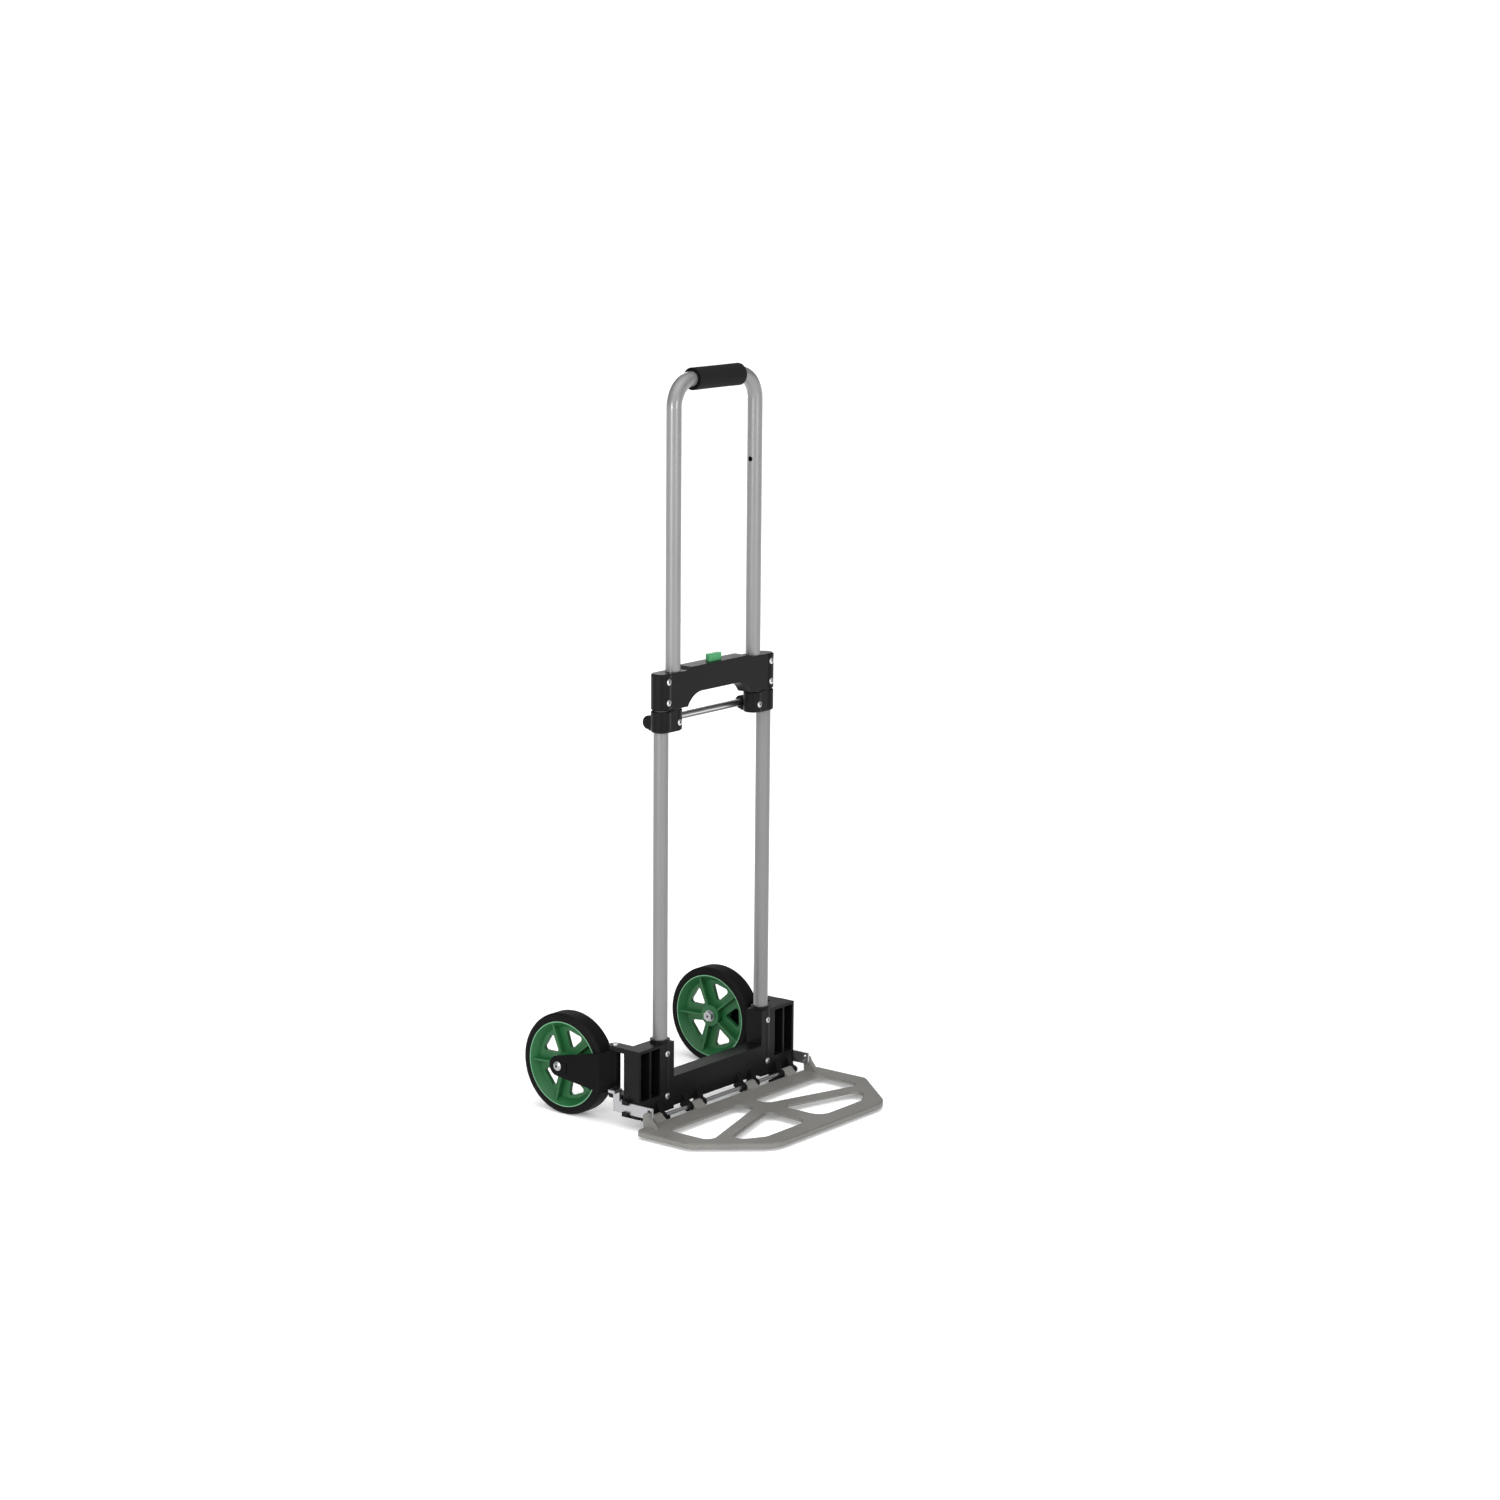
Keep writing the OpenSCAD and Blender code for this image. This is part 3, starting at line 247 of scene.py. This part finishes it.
def makeSilverPaint(name, node):
    # satin enamel: fine flakes, a slow drift of tone and a faint orange peel; the bore is painted
    # near-black, as painted shade inside the tube
    paint = Paint(name, silver["fixed"])
    drift = paint.noise(**silver["drift"])
    flake = paint.noise(**silver["flake"])
    drawn = paint.noise(**silver["drawn"])
    tone = weigh(silver["toneShares"], drift, flake, drawn)
    skin = paint.blend(tone, silver[name]["dark"], silver[name]["light"])

    low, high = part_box(node)
    radius = (high.y - low.y) / 2
    legX = max(abs(low.x), abs(high.x)) - radius
    x, y, z = paint.parts(paint.place(centre=(0, (low.y + high.y) / 2, 0)))
    fromAxis = ((x.size() - legX) ** 2.0 + y * y) ** 0.5
    inside = paint.nearness(fromAxis, radius - silver["skin"], silver["boreFade"])
    # painted shade on the tube's inner wall, below the handle's bend
    bore = inside * z.below(high.z - silver["bendDrop"])

    paint.feed({"Base Color": paint.blend(bore, skin, silver["bore"]),
                "Roughness": silver["rough"] + weigh(silver["roughShares"], drift, flake),
                "Normal": paint.bump(paint.noise(**silver["peel"]), silver["relief"], silver["edge"])})
    return paint.material


plate = {
    "light": (0.222, 0.218, 0.204),
    "dark": (0.104, 0.101, 0.094),
    "fixed": {"Metallic": 0.2, "Specular IOR Level": 0.3},
    "grain": {"scale": 1100.0, "detail": 3.0, "rough": 0.6},
    "specks": 605.0,
    "cloud": {"scale": 22.0, "detail": 4.0},
    "toneShares": (0.50, 0.25, 0.35),  # grain, specks, cloud
    "rough": 0.44,
    "grainRough": 0.16,
    "reliefShares": (1.0, 0.4),  # grain, specks
    "relief": 0.00014,
    "edge": 0.0009,
}


def makePlatePaint():
    # textured powder coat: a tight grain with specks, dull in the dips
    paint = Paint("platePaint", plate["fixed"])
    grain = paint.noise(**plate["grain"])
    specks = paint.cells(plate["specks"])
    cloud = paint.noise(**plate["cloud"])
    tone = weigh(plate["toneShares"], grain, specks, cloud)
    paint.feed({"Base Color": paint.blend(tone, plate["dark"], plate["light"]),
                "Roughness": plate["rough"] + plate["grainRough"] * grain,
                "Normal": paint.bump(weigh(plate["reliefShares"], grain, specks), plate["relief"],
                                     plate["edge"])})
    return paint.material


black = {
    "blackPlastic": {"gloss": 0.10, "rough": 0.22},
    "armPlastic": {"gloss": 0.03, "rough": 0.24},
    "base": (0.0038, 0.0038, 0.0039),
    "worn": (0.0062, 0.0062, 0.0064),
    "scuff": (0.013, 0.013, 0.013),
    "grain": {"scale": 1700.0, "rough": 0.6},
    "flow": {"scale": (20, 20, 45), "detail": 3.0},
    "scuffs": {"scale": (90, 90, 420), "detail": 5.0, "rough": 0.7},
    "scuffFrom": 0.60,
    "scuffTo": 0.80,
    "roughShares": (0.10, 0.06),  # flow, grain
    "relief": 0.00005,
    "edge": 0.0009,
}


def makeBlackPlastic(name):
    # moulded nylon: spark-eroded grain, faint flow clouds and light scuffs
    paint = Paint(name, {"Specular IOR Level": black[name]["gloss"]})
    grain = paint.noise(**black["grain"])
    flow = paint.noise(**black["flow"])
    scuff = paint.ramp(paint.noise(**black["scuffs"]), black["scuffFrom"], black["scuffTo"])
    tone = paint.blend(flow, black["base"], black["worn"])
    paint.feed({"Base Color": paint.blend(scuff, tone, black["scuff"]),
                "Roughness": black[name]["rough"] + weigh(black["roughShares"], flow, grain),
                "Normal": paint.bump(grain, black["relief"], black["edge"])})
    return paint.material


green = {
    "rim": {"deep": (0.009, 0.082, 0.024), "light": (0.018, 0.116, 0.037)},
    "button": {"deep": (0.050, 0.265, 0.102), "light": (0.070, 0.330, 0.135)},
    "fixed": {"Subsurface Weight": 0.04, "Specular IOR Level": 0.28},
    "flow": {"scale": 38.0, "detail": 3.0},
    "grain": {"scale": 1500.0},
    "rough": 0.30,
    "roughShares": (0.10, 0.05),  # flow, grain
    "relief": 0.00004,
    "edge": 0.0007,
    # painted highlight along the rim's lip
    "paintedLipHighlight": (0.150, 0.340, 0.200),
    "lipInset": 0.0007,  # from the rim's outside in to the middle of its lip
    "lipHalf": 0.0004,
    "lipFade": 0.0003,
}


def makeGreenPlastic(name, look, rim=None):
    # dyed polypropylene: soft flow marks, a satin skin, a very fine grain and, on a rim, a painted
    # highlight along its lip
    paint = Paint(name, green["fixed"])
    flow = paint.noise(**green["flow"])
    grain = paint.noise(**green["grain"])
    tone = paint.blend(flow, look["deep"], look["light"])
    if rim:
        low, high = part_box(rim)
        lipAt = (high.z - low.z) / 2 - green["lipInset"]
        along, up = paint.parts(paint.place(centre=middle(rim)))[1:]
        offLip = ((along * along + up * up) ** 0.5 - lipAt).size()
        # a painted highlight in a band round the lip
        tone = paint.blend(paint.nearness(offLip, green["lipHalf"], green["lipFade"]), tone, green["paintedLipHighlight"])
    paint.feed({"Base Color": tone,
                "Roughness": green["rough"] + weigh(green["roughShares"], flow, grain),
                "Normal": paint.bump(grain, green["relief"], green["edge"])})
    return paint.material


steel = {
    "rod": {"tint": (0.66, 0.66, 0.67), "rough": 0.22, "drawn": (8, 900, 900)},
    "screw": {"tint": (0.60, 0.60, 0.61), "rough": 0.30, "drawn": (600, 600, 600)},
    "zinc": {"tint": (0.45, 0.45, 0.465), "rough": 0.30, "drawn": (240, 240, 240)},
    "rivet": {"tint": (0.62, 0.62, 0.63), "rough": 0.30, "drawn": (600, 600, 600), "hollowR": 0.00135},
    "bolt": {"tint": (0.42, 0.42, 0.43), "rough": 0.34, "drawn": (600, 600, 600), "hollowR": 0.0016},
    "fixed": {"Metallic": 1.0},
    "haze": {"scale": 55.0, "detail": 3.0},
    "drawnDetail": 3.0,
    "toneShares": (0.6, 0.4),  # drawn, haze
    "dim": 0.82,  # the darker tint, as a share of the lighter one
    "roughShares": (0.10, 0.05),  # haze, drawn
    "relief": 0.00002,
    "edge": 0.0003,
    # painted shade in the hollows of rivet and bolt heads
    "paintedHollowShade": (0.02, 0.02, 0.02),
    # painted shade on the cross rod's underside
    "paintedUnderShade": (0.13, 0.13, 0.135),
    "paintedShadeShare": 0.37,  # of the cross rod's height, from below
    "fade": 0.0004,
    "rivetHeadR": 0.00425,
}


def makeSteel(name, look, hollows=None, paintedShadeBelow=None):
    # plated steel: drawn lines, a drifting haze, painted shade in any hollow, and painted shade below a
    # height;
    # hollows gives the axis that they face and their centres in the two other coordinates,
    # the first without its sign, so that one centre serves both sides of the cart
    paint = Paint(name, steel["fixed"])
    drawn = paint.noise(look["drawn"], steel["drawnDetail"])
    haze = paint.noise(**steel["haze"])
    dim = tuple(steel["dim"] * part for part in look["tint"])
    tone = paint.blend(weigh(steel["toneShares"], drawn, haze), dim, look["tint"])
    if hollows:
        axis, centres = hollows
        places = paint.parts(paint.place())
        first, second = places[:axis] + places[axis + 1:]
        distances = [((first.size() - a) ** 2.0 + (second - b) ** 2.0) ** 0.5 for a, b in centres]
        nearest = distances[0]
        for distance in distances[1:]:
            nearest = nearest.lower(distance)
        # painted shade darkens each hollow
        tone = paint.blend(paint.nearness(nearest, look["hollowR"], steel["fade"]), tone, steel["paintedHollowShade"])
    # painted shade below the given height
    if paintedShadeBelow:
        height = paint.parts(paint.place())[2]
        tone = paint.blend(paint.nearness(height, paintedShadeBelow, steel["fade"]), tone, steel["paintedUnderShade"])
    paint.feed({"Base Color": tone,
                "Roughness": look["rough"] + weigh(steel["roughShares"], haze, drawn),
                "Normal": paint.bump(drawn, steel["relief"], steel["edge"])})
    return paint.material


def makeRivetSteel(node):
    # a head stands in each corner of the node's box, or one at each end where the box is low
    low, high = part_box(node)
    headX = high.x - steel["rivetHeadR"]
    centres = [(headX, low.z + steel["rivetHeadR"]), (headX, high.z - steel["rivetHeadR"])]
    return makeSteel(node + "_steel", steel["rivet"], hollows=(1, centres))


def makeBoltSteel(node):
    # the hollow is in the middle of the bolt's head, on the axle
    return makeSteel(node + "_steel", steel["bolt"], hollows=(0, [middle(node)[1:]]))


def makeCrossSteel():
    # bright above, with painted shade on the lower part
    low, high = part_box("cross_rod")
    return makeSteel("crossRodSteel", steel["rod"],
                     paintedShadeBelow=low.z + steel["paintedShadeShare"] * (high.z - low.z))


tyreLook = {
    "base": (0.0034, 0.0033, 0.0033),
    "dusty": (0.0068, 0.0065, 0.0065),
    "fixed": {"Specular IOR Level": 0.06},
    "rings": 5200.0,  # radians to the metre
    "dust": {"scale": 60.0, "detail": 5.0, "rough": 0.65},
    "skin": {"scale": 1400.0},
    "rough": 0.40,
    "roughShares": (0.22, 0.04),  # dust, skin
    "reliefShares": (0.25, 1.0),  # rings, skin
    "relief": 0.00005,
}


def makeTyreRubber(name, centre):
    # smooth rubber: fine rings from the mould about the axle, and a film of dust
    paint = Paint(name, tyreLook["fixed"])
    along, up = paint.parts(paint.place(centre=centre))[1:]
    rings = ((along * along + up * up) ** 0.5 * tyreLook["rings"]).wave()
    dust = paint.noise(**tyreLook["dust"])
    skin = paint.noise(**tyreLook["skin"])
    paint.feed({"Base Color": paint.blend(dust, tyreLook["base"], tyreLook["dusty"]),
                "Roughness": tyreLook["rough"] + weigh(tyreLook["roughShares"], dust, skin),
                "Normal": paint.bump(weigh(tyreLook["reliefShares"], rings, skin), tyreLook["relief"])})
    return paint.material


foamLook = {
    "base": (0.0090, 0.0090, 0.0094),
    "pore": (0.0025, 0.0025, 0.0025),
    "fixed": {"Sheen Weight": 0.03, "Sheen Roughness": 0.5, "Specular IOR Level": 0.10},
    "cells": 1500.0,
    "poreFrom": 0.12,
    "poreTo": 0.42,
    "lines": {"scale": (14, 520, 520), "detail": 3.0},
    "cloud": {"scale": 45.0, "detail": 3.0},
    "toneShares": (0.55, 0.30, 0.25),  # pores, lines, cloud
    "rough": 0.78,
    "linesRough": 0.14,
    "reliefShares": (0.5, 1.0),  # pores, lines
    "relief": 0.00022,
    # painted shade on the grip's cut ends
    "cut": (0.0008, 0.0008, 0.0008),
    "cutDepth": 0.0009,
    "cutFade": 0.0004,
}


def makeFoam(half):
    # closed-cell foam: open pores in the skin, fine lines from its extrusion, and painted shade on its
    # cut ends
    paint = Paint("gripFoam", foamLook["fixed"])
    pores = paint.ramp(paint.cells(foamLook["cells"]), foamLook["poreFrom"], foamLook["poreTo"])
    lines = paint.noise(**foamLook["lines"])
    cloud = paint.noise(**foamLook["cloud"])
    tone = paint.blend(weigh(foamLook["toneShares"], pores, lines, cloud), foamLook["pore"],
                       foamLook["base"])
    inset = half - paint.parts(paint.place())[0].size()
    # painted shade near each end of the grip
    cut = paint.nearness(inset, foamLook["cutDepth"], foamLook["cutFade"])
    paint.feed({"Base Color": paint.blend(cut, tone, foamLook["cut"]),
                "Roughness": foamLook["rough"] + foamLook["linesRough"] * lines,
                "Normal": paint.bump(weigh(foamLook["reliefShares"], pores, lines), foamLook["relief"])})
    return paint.material


footLook = {
    "base": (0.010, 0.010, 0.010),
    "rubbed": (0.026, 0.025, 0.024),
    "fixed": {"Specular IOR Level": 0.25},
    "skin": {"scale": 900.0, "detail": 3.0},
    "rub": {"scale": 120.0, "detail": 4.0},
    "rough": 0.6,
    "rubRough": 0.2,
    "relief": 0.00008,
}


def makeFootRubber():
    # soft rubber with a faint skin, greyer where it is rubbed
    paint = Paint("footRubber", footLook["fixed"])
    skin = paint.noise(**footLook["skin"])
    rub = paint.noise(**footLook["rub"])
    paint.feed({"Base Color": paint.blend(rub, footLook["base"], footLook["rubbed"]),
                "Roughness": footLook["rough"] + footLook["rubRough"] * rub,
                "Normal": paint.bump(skin, footLook["relief"])})
    return paint.material


def shade(material, *names):
    # gives CAD nodes their finish without touching their meshes
    for name in names:
        slots = nodes[name].data.materials
        if slots:
            slots[0] = material
        else:
            slots.append(material)


sides = ("left", "right")
shade(makeSilverPaint("handlePaint", "handle_tube"), "handle_tube")
# the lower tubes take the darker copy of the paint, as painted shade
shade(makeSilverPaint("shadedTubePaint", "lower_tube_right"), "lower_tube_left", "lower_tube_right")
shade(makePlatePaint(), "toe_plate")
shade(makeBlackPlastic("blackPlastic"),
      "base_bracket", "lock_housing", "housing_cover", "collar_left", "collar_right")
shade(makeGreenPlastic("buttonPlastic", green["button"]), "release_button")
shade(makeCrossSteel(), "cross_rod")
shade(makeSteel("rodSteel", steel["rod"]), "toe_hinge_rod")
for node in ("housing_rivets", "bracket_rivets", "collar_rivets"):
    shade(makeRivetSteel(node), node)
shade(makeSteel("screwSteel", steel["screw"]), "cover_screws")
shade(makeFootRubber(), "toe_feet")
armPlastic = makeBlackPlastic("armPlastic")
zincSteel = makeSteel("zincSteel", steel["zinc"])
for side in sides:
    shade(armPlastic, "wheel_arm_" + side)
    shade(makeBoltSteel("axle_bolt_" + side), "axle_bolt_" + side)
    shade(makeGreenPlastic("rimPlastic." + side, green["rim"], "rim_" + side), "rim_" + side)
    shade(zincSteel, "link_" + side, "wheel_hinge_pin_" + side, "axle_nut_" + side,
          "axle_washers_" + side, "lock_pin_" + side, "lock_spring_" + side)
shade(zincSteel, "button_spring")
print("materials set on the CAD nodes")


# new surfaces, worked out on numpy grids

def makeObject(name, points, faces):
    # an object at the origin, with its place in its mesh
    mesh = bpy.data.meshes.new(name)
    mesh.from_pydata(points, [], faces)
    mesh.update()
    made = bpy.data.objects.new(name, mesh)
    bpy.context.scene.collection.objects.link(made)
    return made


def gridMesh(name, points):
    # a grid of points (rows, columns, xyz) becomes quads;
    # both ways are closed, so the last line is joined to the first
    rows, columns = points.shape[:2]
    a, b = np.meshgrid(np.arange(rows), np.arange(columns), indexing="ij")
    nextA, nextB = (a + 1) % rows, (b + 1) % columns
    quads = np.stack([a * columns + b, a * columns + nextB, nextA * columns + nextB,
                      nextA * columns + b], -1).reshape(-1, 4)
    made = makeObject(name, points.reshape(-1, 3).tolist(), quads.tolist())
    made.data.shade_smooth()
    return made


def revolveAboutX(name, profile, centre, steps, wobble=None):
    # each profile point (x, radius) is carried round the X line through the centre:
    # y = centre + radius cos(turn), z = centre + radius sin(turn)
    turn = np.linspace(0, 2 * np.pi, steps, endpoint=False)
    x = profile[:, 0][:, None] + 0 * turn
    radius = profile[:, 1][:, None] + 0 * turn
    if wobble:
        radius = radius + wobble(x, radius, turn)
    points = np.stack([centre[0] + x, centre[1] + radius * np.cos(turn),
                       centre[2] + radius * np.sin(turn)], -1)
    return gridMesh(name, points)


def ringCorners(half, inner, outer, innerRound, outerRound, steps):
    # the rounded corners of a ring's section, in order round it, each a quarter turn long:
    # x = middle + rounding cos(turn), radius = middle + rounding sin(turn)
    corners = [(half - outerRound, outer - outerRound, outerRound, 0),
               (outerRound - half, outer - outerRound, outerRound, 90),
               (innerRound - half, inner + innerRound, innerRound, 180),
               (half - innerRound, inner + innerRound, innerRound, 270)]
    arcs = []
    for x, radius, rounding, start in corners:
        turn = np.radians(np.linspace(start, start + 90, steps))
        arcs.append(np.stack([x + rounding * np.cos(turn), radius + rounding * np.sin(turn)], -1))
    return arcs


grip = {
    "endRound": 0.0016,
    "boreRound": 0.0006,
    "spare": 0.0001,  # the outside keeps this inside the solid's, and the bore off the tube
    "waist": 0.00018,
    "rippleDepth": 0.00004,
    "ripples": ((1.0, 7, 30), (0.6, 13, -55)),  # share of the depth, count round, twist to the metre
    "cornerSteps": 9,
    "lengthSteps": 60,
    "turnSteps": 144,
}


def makeGrip():
    # foam sleeve: a straight tube with soft ends, a hair slimmer in the middle,
    # with long shallow ripples round it
    low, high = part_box("foam_grip")
    tubeLow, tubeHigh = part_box("handle_tube")
    half = (high.x - low.x) / 2
    outer = (high.z - low.z) / 2 - grip["spare"]
    inner = (tubeHigh.y - tubeLow.y) / 2 + grip["spare"]
    topRight, *others = ringCorners(half, inner, outer, grip["boreRound"], grip["endRound"],
                                    grip["cornerSteps"])
    straight = half - grip["endRound"]
    topX = np.linspace(straight, -straight, grip["lengthSteps"])[1:-1]
    top = np.stack([topX, np.full(len(topX), outer)], -1)
    profile = np.concatenate([topRight, top, *others])

    def unevenness(x, radius, turn):
        # the radius loses a waist, which is a cosine along the grip, and for each ripple
        # its share (1 + sin(count turn + twist x)); the bore keeps its radius
        skin = np.clip((radius - inner) / (outer - inner), 0, 1)
        waist = grip["waist"] * np.cos(np.pi * x / (2 * half))
        ripples = sum(share * (1 + np.sin(count * turn + twist * x))
                      for share, count, twist in grip["ripples"])
        return -skin * (waist + grip["rippleDepth"] * ripples)

    made = revolveAboutX("foamGrip", profile, middle("foam_grip"), grip["turnSteps"], unevenness)
    made.data.materials.append(makeFoam(half))
    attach(made, "handle")
    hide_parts("foam_grip")


tyre = {
    "shoulder": 0.0055,
    "bead": 0.0012,
    "sideSpare": 0.0001,  # the side walls keep this inside the solid's
    "rimSpare": 0.0002,  # and the bore keeps this off the rim
    "bandDepth": 0.0004,
    "bandsAt": (0.72, 0.18),  # shares of the side wall, from its outer edge
    "bandWidth": 0.07,
    "cornerSteps": 12,
    "wallSteps": 26,
    "treadSteps": 14,
    "turnSteps": 216,
}


def makeTyre(side):
    # solid tyre: a round-shouldered section with two shallow bands in each side wall,
    # each as deep as bandDepth exp(-((share - its place) / width) squared)
    node = "tyre_" + side
    low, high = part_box(node)
    rimLow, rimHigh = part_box("rim_" + side)
    half = (high.x - low.x) / 2 - tyre["sideSpare"]
    outer = (high.z - low.z) / 2
    inner = (rimHigh.y - rimLow.y) / 2 + tyre["rimSpare"]
    topRight, topLeft, lowLeft, lowRight = ringCorners(
        half, inner, outer, tyre["bead"], tyre["shoulder"], tyre["cornerSteps"])
    wall = np.linspace(outer - tyre["shoulder"], inner + tyre["bead"], tyre["wallSteps"])[1:-1]
    share = (wall - wall.min()) / (wall.max() - wall.min())
    dip = tyre["bandDepth"] * sum(np.exp(-((share - place) / tyre["bandWidth"]) ** 2)
                                  for place in tyre["bandsAt"])
    leftWall = np.stack([dip - half, wall], -1)
    rightWall = np.stack([half - dip, wall], -1)[::-1]
    edge = half - tyre["shoulder"]
    treadX = np.linspace(edge, -edge, tyre["treadSteps"])[1:-1]
    tread = np.stack([treadX, np.full(len(treadX), outer)], -1)
    profile = np.concatenate([topRight, tread, topLeft, leftWall, lowLeft, lowRight, rightWall])
    made = revolveAboutX("tyre." + side, profile, middle(node), tyre["turnSteps"])
    made.data.materials.append(makeTyreRubber("tyreRubber." + side, middle(node)))
    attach(made, "wheel_" + side)
    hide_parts(node)


makeGrip()
for side in sides:
    makeTyre(side)
print("grip and tyres made")


# studio: pale floor, soft dome, lamps and the camera

studio = {
    "floorTone": (0.93, 0.93, 0.93, 1.0),
    "floorRough": 0.9,
    "floorGlow": 0.22,
    "floorHalf": 300.0,
    "ambient": 0.15,
    "dome": 2.5,
    "domeSharp": 2.8,
    "domeAt": (-0.36, -0.32, 0.87),
    "horizon": 1.0,
    "horizonSharp": 400.0,
    "white": (1, 1, 1, 1),
    "lampsLookAt": (0, 0, 0.45),
}


def makeFloor():
    half = studio["floorHalf"]
    corners = [(-half, -half, 0), (half, -half, 0), (half, half, 0), (-half, half, 0)]
    floor = makeObject("floor", corners, [(0, 1, 2, 3)])
    paint = Paint("floorPaint", {"Base Color": studio["floorTone"], "Roughness": studio["floorRough"],
                                 "Specular IOR Level": 0.0, "Emission Color": studio["white"],
                                 "Emission Strength": studio["floorGlow"]})
    floor.data.materials.append(paint.material)


def makeSky():
    # a soft dome, brightest about one high direction in front, with an even pale band at the horizon
    world = bpy.data.worlds.new("studioWorld")
    sky = NodeTree(world)
    direction = sky.node("ShaderNodeTexCoord", {}, {}).out("Generated")
    lamp = np.array(studio["domeAt"]) / np.linalg.norm(studio["domeAt"])
    facing = sky.node("ShaderNodeVectorMath", {"operation": "DOT_PRODUCT"},
                      {0: direction, 1: tuple(lamp)}).out("Value")
    height = sky.parts(direction)[2]
    dome = facing.higher(0.0) ** studio["domeSharp"] * studio["dome"]
    band = (1.0 - (height * height * studio["horizonSharp"]).lower(1.0)) * studio["horizon"]
    glow = sky.node("ShaderNodeBackground", {},
                    {"Color": studio["white"], "Strength": dome + band + studio["ambient"]})
    sky.finish("ShaderNodeOutputWorld", glow)
    bpy.context.scene.world = world
    bpy.context.scene.view_settings.view_transform = "Standard"


lamps = {
    "key": {"at": (-3.0, -0.25, 1.0), "size": 0.7, "watts": 36.0},
    "side": {"at": (-0.6, -2.95, 1.0), "size": 0.7, "watts": 22.0},
    "back": {"at": (2.4, 2.2, 1.9), "size": 1.0, "watts": 9.0},
}


def stand(name, data, place, right, up, back):
    # a lamp or camera at a place, with its own X, Y and Z along right, up and back; it looks along -Z
    turn = Matrix([[right[i], up[i], back[i]] for i in range(3)])
    made = bpy.data.objects.new(name, data)
    made.matrix_world = Matrix.Translation(place) @ turn.to_4x4()
    bpy.context.scene.collection.objects.link(made)
    return made


def makeLamps():
    # each lamp is a round soft light, turned to the middle of the cart
    for name, values in lamps.items():
        data = bpy.data.lights.new(name, "AREA")
        data.shape = "DISK"
        data.size = values["size"]
        data.energy = values["watts"]
        back = np.array(values["at"]) - np.array(studio["lampsLookAt"])
        back /= np.linalg.norm(back)
        right = np.cross((0, 0, 1), back)
        right /= np.linalg.norm(right)
        stand(name, data, values["at"], right, np.cross(back, right), back)


view = {
    "lens": 84.76,
    "sensor": 36.0,
    "farClip": 1000.0,
    "at": (-3.6118, -2.86725, 1.40554),
    "azimuth": -0.90887,
    "pitch": 0.19615,
    "roll": 0.00872,
}


def makeCamera():
    # looks along the azimuth, tipped down by the pitch and rolled a little
    azimuth, pitch, roll = view["azimuth"], view["pitch"], view["roll"]
    level = np.array([-math.sin(azimuth), math.cos(azimuth), 0.0])
    right = np.array([math.cos(azimuth), math.sin(azimuth), 0.0])
    up = np.array([0.0, 0.0, 1.0])
    forward = level * math.cos(pitch) - up * math.sin(pitch)
    tipped = up * math.cos(pitch) + level * math.sin(pitch)
    rolledRight = right * math.cos(roll) + tipped * math.sin(roll)
    rolledUp = tipped * math.cos(roll) - right * math.sin(roll)
    data = bpy.data.cameras.new("camera")
    data.lens = view["lens"]
    data.sensor_width = view["sensor"]
    data.clip_end = view["farClip"]
    bpy.context.scene.camera = stand("camera", data, view["at"], rolledRight, rolledUp, -forward)


makeFloor()
makeSky()
makeLamps()
makeCamera()
print("studio, lamps and camera set")
